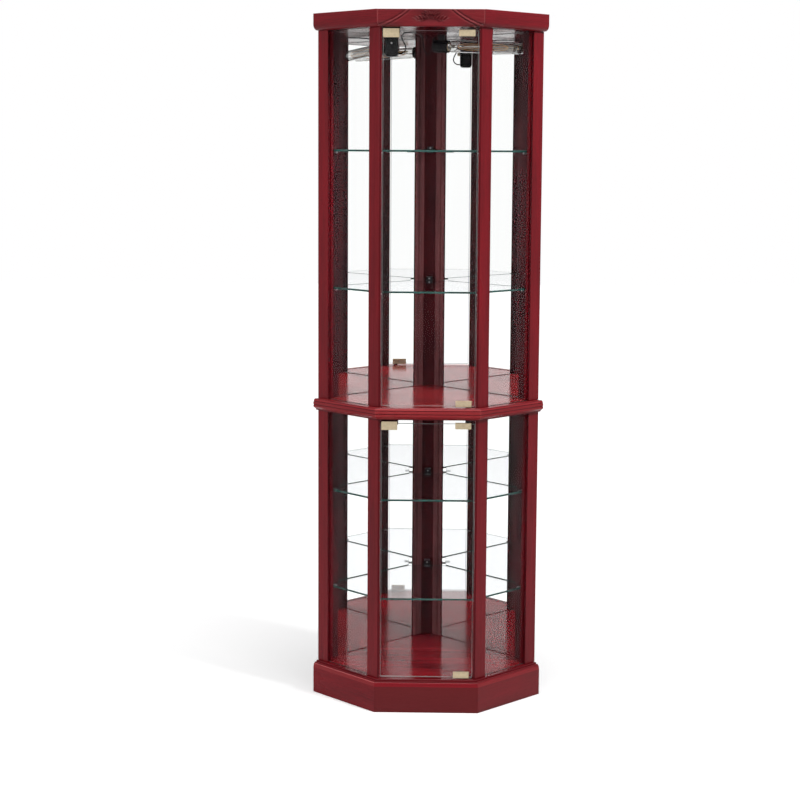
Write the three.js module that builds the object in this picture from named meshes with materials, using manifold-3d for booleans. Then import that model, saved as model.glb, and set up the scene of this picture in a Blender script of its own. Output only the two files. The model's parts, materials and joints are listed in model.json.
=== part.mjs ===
// Corner curio cabinet: two glazed tiers on a moulded plinth, with mirrors along the two wall sides.
// Millimetres, +Z up. In plan the front face lies on y = 0 and the room corner is at the largest y.
// The finished group is moved so that its origin is at the middle of the footprint, on the floor.
import * as THREE from "three";
import { mergeVertices } from "three/addons/utils/BufferGeometryUtils.js";
import Module from "manifold-3d";

const wasm = await Module();
wasm.setup();

// Overall size. The plan is a square corner block whose front corner is cut off at 45 degrees.
const halfWidth = 304;
const halfFront = 135;
const cabinetHeight = 1800;
const cabinetDepth = 2 * halfWidth - halfFront;

// Gaps between pieces
const clearance = 0.3;
const doorFootGap = 4;
const doorSideGap = 2.6;
const cutOverrun = 1;

// Plinth and floor of the lower tier
const plinthRimHeight = 82;
const plinthFaceHeight = 69;
const plinthBevel = 3;
const plinthThickness = 18;
const plinthLip = 9.2;
const basePanelThickness = 15;
const basePanelTop = 86;
const backRailThickness = 16;

// Waist between the tiers
const waistBottom = 768;
const waistThickness = 31;
const waistTop = waistBottom + waistThickness;
const waistMouldingDepth = 15.2;

// Crown and ceiling of the upper tier
const crownHeight = 43;
const crownBottom = cabinetHeight - crownHeight;
const crownDepth = 17.2;
const crownOvoloDepth = 14;
const crownOvoloHeight = 15;
const crownOvoloSteps = 6;
const ceilingPanelThickness = 16;

// Posts
const postSetback = 17.5;
const postFace = 38;
const postThickness = 20;
const wallStileWidth = 57;
const wallStileThickness = 18;
const frontReturn = 5.8;
const grooveDepth = 7;

// Moulded post in the room corner
const cornerStileWidth = 70;
const cornerStileThickness = 10.5;
const beadLineInset = 18.5;
const beadLineHalfWidth = 1;
const beadLineDepth = 1.5;
const coveHalfWidth = 16.5;
const coveStep = 2;
const coveDepth = 4.5;
const coveSteps = 8;

// Glass and mirrors
const paneThickness = 4;
const paneSetback = 7;
const mirrorThickness = 4;
const mirrorSetback = 3;
const shelfThickness = 5;
const doorThickness = 5;
const doorSetback = 19;
const upperDoorHeadGap = 8.3;
const lowerDoorHeadGap = 9.9;

// Shelves, as shares of each tier's clear height, and what carries them
const lowerShelfShares = [0.3, 0.684];
const upperShelfShares = [0.306, 0.68];
const shelfFrontSetback = 44;
const shelfEdgeGap = 3.5;
const shelfRearSetback = 62;
const pinRadius = 2.5;
const pinReach = 12;
const pinSides = 10;
const wallPinPlace = 40;
const frontPinPlace = 24;
const shelfClipHalfWidth = 12.5;
const shelfClipHold = 12;
const shelfClipJaw = 3;
const shelfClipHead = 9;

// Pivot hinges on the right-hand end of each door, top and bottom
const hingePlateWidth = 41;
const hingePlateHeight = 14;
const hingePlateInset = 8.4;
const hingePlateThickness = 1.6;
const hingeWeb = 1.5;
const hingePinInset = 17.7;
const hingePinRadius = 2.5;
const bushRadius = 6;
const roundSides = 20;

// Strike plate on the left-hand end of each door, and the push latch behind it
const strikeWidth = 41;
const strikeHeight = 22;
const strikeRise = 4.9;
const latchBodyWidth = 44;
const latchBodyLength = 42;
const latchBodyHeight = 15.5;
const latchStandoff = 5;
const latchBoreDepth = 27;
const plungerRadius = 4.7;
const plungerLength = 27;

// Lamp under the ceiling: its back end's distance from the right-hand end post and from the ceiling
const lampFromPost = { x: 283.1, y: 143.1 };
const lampDrop = 30;
const lampTurn = THREE.MathUtils.degToRad(-25);
const lampDroop = THREE.MathUtils.degToRad(2.2);
const holderRadius = 17;
const holderLength = 43;
const holderChamfer = 3;
const holderFloor = 15;
const capRadius = 13;
const capEdge = 3;
const neckLength = 10;
const bulbRadius = 15.4;
const bulbReach = 195;
const bulbDomeSteps = 5;
const lampStemWidth = 13;
const lampStemLength = 18;

// Wiring box under the ceiling, and the wire from it to the lamp
const wiringBoxPlace = { x: -101, y: 168 };
const wiringBoxWidth = 34;
const wiringBoxLength = 40;
const wiringBoxHeight = 66;
const wiringBoxRounding = 8;
const wiringBoxRoundingSteps = 4;
const wireRadius = 1.6;
const wireSides = 8;
const wireSteps = 80;

// Points of the wire as (x, y, drop below the ceiling): out of the box, a slack loop, along the ceiling,
// a second loop, into the lamp's stem
const wireRoute = [
  [-83.7, 168, 58],
  [-76, 168, 58.3],
  [-68, 168, 54],
  [-64, 168, 45.5],
  [-66, 168, 35.5],
  [-72, 168, 26],
  [-76, 169, 17],
  [-74, 172, 8.5],
  [-66, 178, 3.2],
  [-52, 190, 2.4],
  [-44, 215, 2.4],
  [-36, 247, 2.4],
  [-30, 276, 2.6],
  [-25.5, 297, 4.5],
  [-22.5, 311, 11.5],
  [-21, 319.5, 24],
  [-19.5, 319.5, 36],
  [-14.5, 318.5, 48],
  [-9, 316.5, 53.5],
  [-3.5, 313, 50],
  [1, 308, 42],
  [3.5, 304, 31],
  [5.1, 304.5, 20.5],
  [6.3, 310.5, 12.4],
  [8.5, 317.1, 8.8],
  [11.7, 320.5, 7.8],
  [15.3, 320.2, 7.8],
  [19.1, 318.4, 7.8],
];

const directionAlongSide = new THREE.Vector2(1, -1).normalize();
const directionAlongWall = new THREE.Vector2(1, 1).normalize();

const cherry = new THREE.MeshStandardMaterial({ color: 0x6f1a1f, roughness: 0.38, metalness: 0 });
const darkCherry = new THREE.MeshStandardMaterial({ color: 0x4a1418, roughness: 0.35, metalness: 0 });
const clearGlass = new THREE.MeshStandardMaterial({
  color: 0xdfe9e6, roughness: 0.03, metalness: 0, transparent: true, opacity: 0.3,
});
const shelfGlass = new THREE.MeshStandardMaterial({
  color: 0xa9c9be, roughness: 0.03, metalness: 0, transparent: true, opacity: 0.4,
});
const mirrorGlass = new THREE.MeshStandardMaterial({ color: 0xe8eaea, roughness: 0.02, metalness: 1 });
const brass = new THREE.MeshStandardMaterial({ color: 0xd2bf8c, roughness: 0.3, metalness: 1 });
const blackPlastic = new THREE.MeshStandardMaterial({ color: 0x121214, roughness: 0.45, metalness: 0 });
const blackSteel = new THREE.MeshStandardMaterial({ color: 0x17181a, roughness: 0.3, metalness: 0.8 });

const cabinet = new THREE.Group();
cabinet.position.y = -cabinetDepth / 2;

function add(name, geometry, material, parent = cabinet) {
  const mesh = new THREE.Mesh(geometry, material);
  mesh.name = name;
  parent.add(mesh);
  return mesh;
}

// The line -x - y = sideLine(inset) runs along the left side face, moved inwards by the inset.
function sideLine(inset) {
  return halfFront - inset * Math.SQRT2;
}

// The line -x + y = wallLine(inset) runs along the left wall face, moved inwards by the inset.
function wallLine(inset) {
  return cabinetDepth - inset * Math.SQRT2;
}

function frontLeftCorner({ front = 0, side = 0 }) {
  return new THREE.Vector2(-(sideLine(side) + front), front);
}

function leftCorner({ side = 0, wall = 0 }) {
  const across = (sideLine(side) + wallLine(wall)) / 2;
  return new THREE.Vector2(-across, (wallLine(wall) - sideLine(side)) / 2);
}

function rearCorner({ wall = 0 }) {
  return new THREE.Vector2(0, wallLine(wall));
}

function across(point) {
  return new THREE.Vector2(-point.x, point.y);
}

function acrossAll(points) {
  return points.map(across).reverse();
}

function pentagon({ front = 0, side = 0, wall = 0 }) {
  const frontLeft = frontLeftCorner({ front, side });
  const left = leftCorner({ side, wall });
  return [frontLeft, across(frontLeft), across(left), rearCorner({ wall }), left];
}

// Plan point reached from an outer post corner by going along the side face and along the wall face
function planPoint(corner, alongSide, alongWall) {
  return corner
    .clone()
    .addScaledVector(directionAlongSide, alongSide)
    .addScaledVector(directionAlongWall, alongWall);
}

function prism(points, bottom, top) {
  const geometry = new THREE.ExtrudeGeometry(new THREE.Shape(points), {
    depth: top - bottom,
    bevelEnabled: false,
  });
  return geometry.translate(0, 0, bottom);
}

// Prism along X of an outline given as (y, z) points
function prismAlongX(outline, low, high) {
  const points = outline.map(([y, z]) => new THREE.Vector2(y, z));
  const geometry = new THREE.ExtrudeGeometry(new THREE.Shape(points), {
    depth: high - low,
    bevelEnabled: false,
  });
  const turn = new THREE.Matrix4().makeBasis(
    new THREE.Vector3(0, 1, 0),
    new THREE.Vector3(0, 0, 1),
    new THREE.Vector3(1, 0, 0),
  );
  return geometry.applyMatrix4(turn).translate(low, 0, 0);
}

// Straight moulding of one profile between two corners. Each corner is a function that gives the plan point
// at an inset, so that a moulding ends in a mitre or against a wall face.
function mouldingRun(outline, startAt, endAt) {
  const flat = outline.map(({ inset, height }) => new THREE.Vector2(inset, height));
  const profile = THREE.ShapeUtils.isClockWise(flat) ? [...outline].reverse() : outline;
  const shift = endAt(0).sub(startAt(0)).normalize().multiplyScalar(clearance / 2);
  const place = (cornerAt, sign) => profile.map(({ inset, height }) => {
    const corner = cornerAt(inset).addScaledVector(shift, sign);
    return new THREE.Vector3(corner.x, corner.y, height);
  });
  const points = [...place(startAt, 1), ...place(endAt, -1)];
  const count = profile.length;
  const section = profile.map(({ inset, height }) => new THREE.Vector2(inset, height));
  const triangles = [];
  THREE.ShapeUtils.triangulateShape(section, []).forEach(([a, b, c]) => {
    triangles.push(a, b, c);
    triangles.push(count + a, count + c, count + b);
  });
  for (let i = 0; i < count; i += 1) {
    const next = (i + 1) % count;
    triangles.push(next, i, count + i);
    triangles.push(next, count + i, count + next);
  }
  const geometry = new THREE.BufferGeometry().setFromPoints(points);
  geometry.setIndex(facingOut(points, triangles));
  geometry.computeVertexNormals();
  return geometry;
}

// Turns every triangle round if the shell that they close has its faces pointing in
function facingOut(points, triangles) {
  let volume = 0;
  for (let i = 0; i < triangles.length; i += 3) {
    const [a, b, c] = [points[triangles[i]], points[triangles[i + 1]], points[triangles[i + 2]]];
    volume += a.dot(new THREE.Vector3().crossVectors(b, c));
  }
  return volume > 0 ? triangles : triangles.reverse();
}

// Copy of a surface with its shared corners merged
function closedSurface(geometry) {
  const bare = geometry.clone();
  bare.deleteAttribute("normal");
  bare.deleteAttribute("uv");
  return mergeVertices(bare);
}

// The same solid on the other side of the cabinet, with its faces still pointing out
function mirrored(geometry) {
  const copy = closedSurface(geometry).scale(-1, 1, 1);
  copy.setIndex(Array.from(copy.index.array).reverse());
  copy.computeVertexNormals();
  return copy;
}

function toSolid(geometry) {
  const merged = closedSurface(geometry);
  return new wasm.Manifold(new wasm.Mesh({
    numProp: 3,
    vertProperties: new Float32Array(merged.attributes.position.array),
    triVerts: new Uint32Array(merged.index.array),
  }));
}

function toGeometry(solid) {
  const mesh = solid.getMesh();
  const geometry = new THREE.BufferGeometry();
  geometry.setAttribute("position", new THREE.BufferAttribute(mesh.vertProperties, 3));
  geometry.setIndex(new THREE.BufferAttribute(mesh.triVerts, 1));
  geometry.computeVertexNormals();
  return geometry;
}

function joined(first, ...others) {
  return toGeometry(others.reduce((solid, geometry) => solid.add(toSolid(geometry)), toSolid(first)));
}

function cut(body, hole) {
  return toGeometry(toSolid(body).subtract(toSolid(hole)));
}

// Cylinder from a point along a plan direction
function rod(radius, length, sides, start, direction, height) {
  const geometry = new THREE.CylinderGeometry(radius, radius, length, sides);
  geometry.rotateZ(direction.angle() - Math.PI / 2);
  const middle = start.clone().addScaledVector(direction, length / 2);
  return geometry.translate(middle.x, middle.y, height);
}

// Upright cylinder between two heights, given in either order
function uprightCylinder(radius, start, end, place) {
  const geometry = new THREE.CylinderGeometry(radius, radius, Math.abs(end - start), roundSides);
  return geometry.rotateX(Math.PI / 2).translate(place.x, place.y, (start + end) / 2);
}

const mitreAtFrontLeft = (inset) => frontLeftCorner({ front: inset, side: inset });
const mitreAtFrontRight = (inset) => across(mitreAtFrontLeft(inset));
const flushWithWall = (inset) => leftCorner({ side: inset });

// Mouldings go round the front and the two sides, mitred at the front corners and flush with the wall faces.
function addThreeMouldings(name, profile, material) {
  add(`${name}_front`, mouldingRun(profile, mitreAtFrontLeft, mitreAtFrontRight), material);
  addPair(name, mouldingRun(profile, flushWithWall, mitreAtFrontLeft), material);
}

function addPair(name, left, material) {
  add(`${name}_left`, left, material);
  add(`${name}_right`, mirrored(left), material);
}

const basePanelBottom = basePanelTop - basePanelThickness;

function addPlinth() {
  const seat = basePanelBottom - clearance;
  const profile = [
    { inset: 0, height: 0 },
    { inset: 0, height: plinthFaceHeight },
    { inset: plinthBevel, height: plinthRimHeight },
    { inset: plinthLip, height: plinthRimHeight },
    { inset: plinthLip, height: seat },
    { inset: plinthThickness, height: seat },
    { inset: plinthThickness, height: 0 },
  ];
  addThreeMouldings("plinth", profile, cherry);
  const rail = [
    { inset: 0, height: 0 },
    { inset: 0, height: seat },
    { inset: backRailThickness, height: seat },
    { inset: backRailThickness, height: 0 },
  ];
  const behindSide = (inset) => leftCorner({ side: plinthThickness + clearance, wall: inset });
  const atRear = (inset) => rearCorner({ wall: inset });
  addPair("plinth_back", mouldingRun(rail, behindSide, atRear), darkCherry);
  const inset = plinthLip + clearance;
  add("base_panel", prism(pentagon({ front: inset, side: inset }), basePanelBottom, basePanelTop), cherry);
}

// Waist moulding from its foot to its top: (share of the depth inwards, share of the height upwards)
const waistProfileShares = [
  [1, 0], [0.59, 0], [0.54, 0.06], [0.09, 0.32], [0.14, 0.36], [0.14, 0.4], [0, 0.44], [0, 0.66],
  [0.09, 0.69], [0.09, 0.72], [0.03, 0.74], [0.47, 0.96], [0.56, 1], [1, 1],
];

function addWaist() {
  const height = waistTop - waistBottom - clearance;
  const profile = waistProfileShares.map(([inwards, upwards]) => ({
    inset: inwards * waistMouldingDepth,
    height: waistBottom + upwards * height,
  }));
  addThreeMouldings("waist_moulding", profile, cherry);
  const inset = waistMouldingDepth + clearance;
  add("waist_panel", prism(pentagon({ front: inset, side: inset }), waistBottom, waistTop), cherry);
}

function addCrown() {
  const profile = [{ inset: crownDepth, height: crownBottom }];
  for (let i = 0; i <= crownOvoloSteps; i += 1) {
    const angle = (i / crownOvoloSteps) * (Math.PI / 2);
    profile.push({
      inset: crownOvoloDepth * (1 - Math.sin(angle)),
      height: crownBottom + crownOvoloHeight * (1 - Math.cos(angle)),
    });
  }
  profile.push({ inset: 0, height: cabinetHeight });
  profile.push({ inset: crownDepth, height: cabinetHeight });
  addThreeMouldings("crown", profile, cherry);
  const inset = crownDepth + clearance;
  const panelTop = crownBottom + ceilingPanelThickness;
  add("ceiling_panel", prism(pentagon({ front: inset, side: inset }), crownBottom, panelTop), cherry);
}

const tiers = [
  {
    name: "lower",
    floor: basePanelTop,
    ceiling: waistBottom,
    shelfShares: lowerShelfShares,
    headGap: lowerDoorHeadGap,
  },
  {
    name: "upper",
    floor: waistTop,
    ceiling: crownBottom,
    shelfShares: upperShelfShares,
    headGap: upperDoorHeadGap,
  },
];

function shelfHeights(tier) {
  return tier.shelfShares.map((share) => tier.floor + share * (tier.ceiling - tier.floor));
}

const postLeft = leftCorner({ side: postSetback });
const postFrontLeft = frontLeftCorner({ front: postSetback, side: postSetback });
const paneFront = paneSetback - clearance;
const paneBack = paneSetback + paneThickness + clearance;
const mirrorBack = mirrorSetback - clearance;
const mirrorFront = mirrorSetback + mirrorThickness + clearance;

function endPostOutline() {
  const places = [
    [0, 0], [postFace, 0], [postFace, paneFront], [postFace - grooveDepth, paneFront],
    [postFace - grooveDepth, paneBack], [postFace, paneBack], [postFace, postThickness],
    [wallStileThickness, postThickness], [wallStileThickness, wallStileWidth], [mirrorFront, wallStileWidth],
    [mirrorFront, wallStileWidth - grooveDepth], [mirrorBack, wallStileWidth - grooveDepth],
    [mirrorBack, wallStileWidth], [0, wallStileWidth],
  ];
  return places.map(([alongSide, alongWall]) => planPoint(postLeft, alongSide, alongWall));
}

function frontPostOutline() {
  const doorSide = postFrontLeft.x + frontReturn;
  const innerEdge = new THREE.Vector2(doorSide, -doorSide - sideLine(postSetback + postThickness));
  const places = [
    [-postFace, postThickness], [-postFace, paneBack], [grooveDepth - postFace, paneBack],
    [grooveDepth - postFace, paneFront], [-postFace, paneFront], [-postFace, 0],
  ];
  const sideOutline = places.map(([alongSide, alongWall]) => planPoint(postFrontLeft, alongSide, alongWall));
  return [postFrontLeft, new THREE.Vector2(doorSide, postSetback), innerEdge, ...sideOutline];
}

// Places on the corner post are measured from the rear corner, along the left wall and inwards from it.
function cornerPostPoint(alongWall, inwards) {
  return planPoint(rearCorner({}), inwards, -alongWall);
}

const coveRadius = (coveHalfWidth ** 2 + coveDepth ** 2) / (2 * coveDepth);
const coveEdge = cornerPostPoint(coveHalfWidth * Math.SQRT2 + cornerStileThickness, cornerStileThickness);

// Depth in plan of the hollow face in the middle of the corner post
function coveFace(x) {
  return coveEdge.y + coveStep + coveDepth - (coveRadius - Math.sqrt(coveRadius ** 2 - x ** 2));
}

function cornerPostOutline() {
  const beadLine = cornerStileWidth - beadLineInset;
  const places = [
    [cornerStileWidth, 0], [cornerStileWidth, mirrorBack], [cornerStileWidth - grooveDepth, mirrorBack],
    [cornerStileWidth - grooveDepth, mirrorFront], [cornerStileWidth, mirrorFront],
    [cornerStileWidth, cornerStileThickness], [beadLine + beadLineHalfWidth, cornerStileThickness],
    [beadLine, cornerStileThickness - beadLineDepth], [beadLine - beadLineHalfWidth, cornerStileThickness],
  ];
  const half = places.map(([alongWall, inwards]) => cornerPostPoint(alongWall, inwards));
  half.push(coveEdge);
  const cove = [];
  for (let i = 0; i <= coveSteps; i += 1) {
    const x = coveHalfWidth * ((2 * i) / coveSteps - 1);
    cove.push(new THREE.Vector2(x, coveFace(x)));
  }
  return [rearCorner({}), ...half, ...cove, ...acrossAll(half)];
}

// Pins of a post, one under each shelf of its tier
function shelfPins(tier, start, direction) {
  const low = shelfThickness / 2 + clearance + pinRadius;
  return shelfHeights(tier).map(
    (height) => rod(pinRadius, pinReach + cutOverrun, pinSides, start, direction, height - low),
  );
}

function addPosts(tier) {
  const bottom = tier.floor + clearance;
  const top = tier.ceiling - clearance;
  const wallPinStart = planPoint(postLeft, wallStileThickness - cutOverrun, wallPinPlace);
  const frontPinStart = planPoint(postFrontLeft, -frontPinPlace, postThickness - cutOverrun);
  const endPost = joined(
    prism(endPostOutline(), bottom, top),
    ...shelfPins(tier, wallPinStart, directionAlongSide),
  );
  const frontPost = joined(
    prism(frontPostOutline(), bottom, top),
    ...shelfPins(tier, frontPinStart, directionAlongWall),
  );
  addPair(`${tier.name}_end_post`, endPost, cherry);
  addPair(`${tier.name}_front_post`, frontPost, cherry);
  add(`${tier.name}_corner_post`, prism(cornerPostOutline(), bottom, top), darkCherry);
}

function addPanesAndMirrors(tier) {
  const bottom = tier.floor + clearance;
  const top = tier.ceiling - clearance;
  const inPost = grooveDepth - clearance;
  const paneEnd = postFace - inPost;
  const pane = [
    planPoint(postLeft, paneEnd, paneSetback),
    planPoint(postFrontLeft, -paneEnd, paneSetback),
    planPoint(postFrontLeft, -paneEnd, paneSetback + paneThickness),
    planPoint(postLeft, paneEnd, paneSetback + paneThickness),
  ];
  addPair(`${tier.name}_side_glass`, prism(pane, bottom, top), clearGlass);
  const mirrorRear = cornerStileWidth - inPost;
  const mirror = [
    planPoint(postLeft, mirrorSetback, wallStileWidth - inPost),
    planPoint(postLeft, mirrorSetback + mirrorThickness, wallStileWidth - inPost),
    cornerPostPoint(mirrorRear, mirrorSetback + mirrorThickness),
    cornerPostPoint(mirrorRear, mirrorSetback),
  ];
  addPair(`${tier.name}_mirror`, prism(mirror, bottom, top), mirrorGlass);
}

const shelfSide = sideLine(postSetback + postThickness) - shelfEdgeGap * Math.SQRT2;
const shelfRear = cabinetDepth - shelfRearSetback;

// Plan of half a shelf: notched round the end post, cut straight across in front of the corner post
function shelfHalf() {
  const mirrorGap = mirrorSetback + mirrorThickness + shelfEdgeGap;
  const stileGap = wallStileThickness + shelfEdgeGap;
  const notchEnd = wallStileWidth + shelfEdgeGap;
  const alongSideEdge = (shelfSide - sideLine(postSetback)) / -Math.SQRT2;
  return [
    new THREE.Vector2(shelfRear - wallLine(mirrorGap), shelfRear),
    planPoint(postLeft, mirrorGap, notchEnd),
    planPoint(postLeft, stileGap, notchEnd),
    planPoint(postLeft, stileGap, alongSideEdge),
    new THREE.Vector2(-(shelfSide + shelfFrontSetback), shelfFrontSetback),
  ];
}

function addShelves(tier) {
  const half = shelfHalf();
  shelfHeights(tier).forEach((height, index) => {
    const bottom = height - shelfThickness / 2;
    const top = height + shelfThickness / 2;
    const name = `${tier.name}_shelf_${index + 1}`;
    add(name, prism([...half, ...acrossAll(half)], bottom, top), shelfGlass);
    const front = shelfRear - shelfClipHold;
    const back = coveFace(shelfClipHalfWidth) - clearance;
    const jaw = shelfRear + clearance;
    const clip = prismAlongX([
      [front, bottom - clearance - shelfClipJaw],
      [back, bottom - clearance - shelfClipJaw],
      [back, top + clearance + shelfClipHead],
      [front, top + clearance + shelfClipHead - shelfClipJaw],
      [front, top + clearance],
      [jaw, top + clearance],
      [jaw, bottom - clearance],
      [front, bottom - clearance],
    ], -shelfClipHalfWidth, shelfClipHalfWidth);
    add(`${name}_clip`, clip, blackSteel);
  });
}

const doorHalfWidth = -(postFrontLeft.x + frontReturn) - doorSideGap;
const doorMiddle = doorSetback + doorThickness / 2;
const hingePlace = { x: doorHalfWidth - hingePinInset, y: doorMiddle };

// Clip bent over the top edge of a glass door, as a (y, z) outline, or under the bottom edge where sign is -1
function clipOutline(edge, sign, webHeight, plateHeight) {
  const inner = doorSetback - clearance;
  const innerBack = doorSetback + doorThickness + clearance;
  const outer = inner - hingePlateThickness;
  const outerBack = innerBack + hingePlateThickness;
  const webInner = edge + sign * clearance;
  const webOuter = webInner + sign * webHeight;
  const foot = edge - sign * plateHeight;
  return [
    [outer, foot], [inner, foot], [inner, webInner], [innerBack, webInner],
    [innerBack, foot], [outerBack, foot], [outerBack, webOuter], [outer, webOuter],
  ];
}

function addHinge(tier, where, edge, sign, seat) {
  const right = doorHalfWidth - hingePlateInset;
  const outline = clipOutline(edge, sign, hingeWeb, hingePlateHeight);
  const clip = prismAlongX(outline, right - hingePlateWidth, right);
  const webOuter = edge + sign * (clearance + hingeWeb);
  const pinEnd = seat - sign * 2 * clearance;
  const pinRoot = webOuter - (sign * hingeWeb) / 2;
  const pin = uprightCylinder(hingePinRadius, pinRoot, pinEnd, hingePlace);
  add(`${tier.name}_door_${where}_hinge_clip`, joined(clip, pin), brass);
  const near = webOuter + sign * clearance;
  const far = seat - sign * clearance;
  const ring = uprightCylinder(bushRadius, near, far, hingePlace);
  const boreStart = near - sign * cutOverrun;
  const boreEnd = far + sign * cutOverrun;
  const bore = uprightCylinder(hingePinRadius + clearance, boreStart, boreEnd, hingePlace);
  add(`${tier.name}_door_${where}_hinge_bush`, cut(ring, bore), blackPlastic);
}

function addDoor(tier) {
  const bottom = tier.floor + doorFootGap;
  const top = tier.ceiling - tier.headGap;
  const glass = new THREE.BoxGeometry(2 * doorHalfWidth, doorThickness, top - bottom);
  glass.translate(0, doorMiddle, (top + bottom) / 2);
  add(`${tier.name}_door_glass`, glass, clearGlass);
  addHinge(tier, "top", top, 1, tier.ceiling);
  addHinge(tier, "bottom", bottom, -1, tier.floor);
  const left = -doorHalfWidth;
  const strike = prismAlongX(
    clipOutline(top, 1, strikeRise - clearance, strikeHeight - strikeRise),
    left,
    left + strikeWidth,
  );
  add(`${tier.name}_door_strike`, strike, brass);
}

function addLatch(tier) {
  const middle = -doorHalfWidth + strikeWidth / 2;
  const strikeBack = doorSetback + doorThickness + clearance + hingePlateThickness;
  const bodyFront = strikeBack + latchStandoff;
  const bodyTop = tier.ceiling - clearance;
  const body = new THREE.BoxGeometry(latchBodyWidth, latchBodyLength, latchBodyHeight);
  body.translate(middle, bodyFront + latchBodyLength / 2, bodyTop - latchBodyHeight / 2);
  const height = bodyTop - latchBodyHeight / 2;
  const backwards = new THREE.Vector2(0, 1);
  const boreStart = new THREE.Vector2(middle, bodyFront - cutOverrun);
  const boreLength = latchBoreDepth + cutOverrun;
  const bore = rod(plungerRadius + clearance, boreLength, roundSides, boreStart, backwards, height);
  add(`${tier.name}_latch_body`, cut(body, bore), blackPlastic);
  const plungerStart = new THREE.Vector2(middle, strikeBack + clearance);
  const plunger = rod(plungerRadius, plungerLength, roundSides, plungerStart, backwards, height);
  add(`${tier.name}_latch_plunger`, plunger, blackPlastic);
}

// Turned piece along +X from a profile of (along the axis, radius) points
function turned(profile, droop) {
  const points = profile.map(([along, radius]) => new THREE.Vector2(radius, along));
  const geometry = new THREE.LatheGeometry(points, roundSides);
  return geometry.rotateZ(-Math.PI / 2).rotateY(droop);
}

function addLamp() {
  const lamp = new THREE.Group();
  const post = across(postLeft);
  lamp.position.set(post.x - lampFromPost.x, post.y + lampFromPost.y, crownBottom - lampDrop);
  lamp.rotation.z = lampTurn;
  cabinet.add(lamp);
  const barrel = turned([
    [0, 0], [0, holderRadius - holderChamfer], [holderChamfer, holderRadius], [holderLength, holderRadius],
    [holderLength, capRadius + clearance], [holderFloor, capRadius + clearance], [holderFloor, 0],
  ], lampDroop);
  const rise = lampDrop - clearance;
  const stem = new THREE.BoxGeometry(lampStemLength, lampStemWidth, rise - holderRadius / 2);
  stem.translate(holderLength / 2, 0, (rise + holderRadius / 2) / 2);
  const socket = turned([
    [holderFloor, 0], [holderFloor, capRadius + clearance], [holderLength, capRadius + clearance],
    [holderLength, 0],
  ], lampDroop);
  add("lamp_holder", joined(barrel, cut(stem, socket)), blackPlastic, lamp);
  const capStart = holderFloor + clearance;
  const mouth = holderLength + clearance;
  const tip = holderLength + bulbReach;
  const profile = [
    [capStart, 0], [capStart, capRadius - capEdge], [capStart + capEdge, capRadius], [mouth, capRadius],
    [mouth + neckLength, bulbRadius],
  ];
  for (let i = 0; i < bulbDomeSteps; i += 1) {
    const angle = (i / bulbDomeSteps) * (Math.PI / 2);
    profile.push([tip - bulbRadius * (1 - Math.sin(angle)), bulbRadius * Math.cos(angle)]);
  }
  profile.push([tip, 0]);
  add("lamp_bulb", turned(profile, lampDroop), clearGlass, lamp);
}

function addWiring() {
  const top = crownBottom - clearance;
  const bottom = top - wiringBoxHeight;
  const half = wiringBoxWidth / 2;
  const right = [new THREE.Vector2(half, top)];
  for (let i = 0; i <= wiringBoxRoundingSteps; i += 1) {
    const angle = (i / wiringBoxRoundingSteps) * (Math.PI / 2);
    const inwards = wiringBoxRounding * (1 - Math.cos(angle));
    const upwards = wiringBoxRounding * (1 - Math.sin(angle));
    right.push(new THREE.Vector2(half - inwards, bottom + upwards));
  }
  const outline = new THREE.Shape([...right, ...acrossAll(right)]);
  const box = new THREE.ExtrudeGeometry(outline, { depth: wiringBoxLength, bevelEnabled: false });
  box.rotateX(Math.PI / 2);
  box.translate(wiringBoxPlace.x, wiringBoxPlace.y + wiringBoxLength / 2, 0);
  add("wiring_box", box, blackPlastic);
  const points = wireRoute.map(([x, y, drop]) => new THREE.Vector3(x, y, crownBottom - drop));
  const route = new THREE.CatmullRomCurve3(points);
  const section = new THREE.Shape();
  for (let i = 0; i < wireSides; i += 1) {
    const angle = (i / wireSides) * 2 * Math.PI;
    const place = [wireRadius * Math.cos(angle), wireRadius * Math.sin(angle)];
    if (i === 0) {
      section.moveTo(...place);
    } else {
      section.lineTo(...place);
    }
  }
  const wire = new THREE.ExtrudeGeometry(section, {
    steps: wireSteps,
    bevelEnabled: false,
    extrudePath: route,
  });
  add("lamp_wire", wire, blackPlastic);
}

addPlinth();
addWaist();
addCrown();
tiers.forEach((tier) => {
  addPosts(tier);
  addPanesAndMirrors(tier);
  addShelves(tier);
  addDoor(tier);
  addLatch(tier);
});
addLamp();
addWiring();

export default cabinet;
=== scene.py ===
"""Corner curio cabinet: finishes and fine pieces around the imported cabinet.

The cabinet's own plan has its front face on y = 0 and the room corner at the largest y, and
lengths in this script are written in millimetres in that plan. place() turns them into the
frame's metres. Only the settings, softened edges, merging distances and the studio are in
metres from the start.
"""

import json
import math

import bmesh
import bpy
from bpy.props import FloatProperty, FloatVectorProperty, PointerProperty
from mathutils import Matrix, Vector


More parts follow.
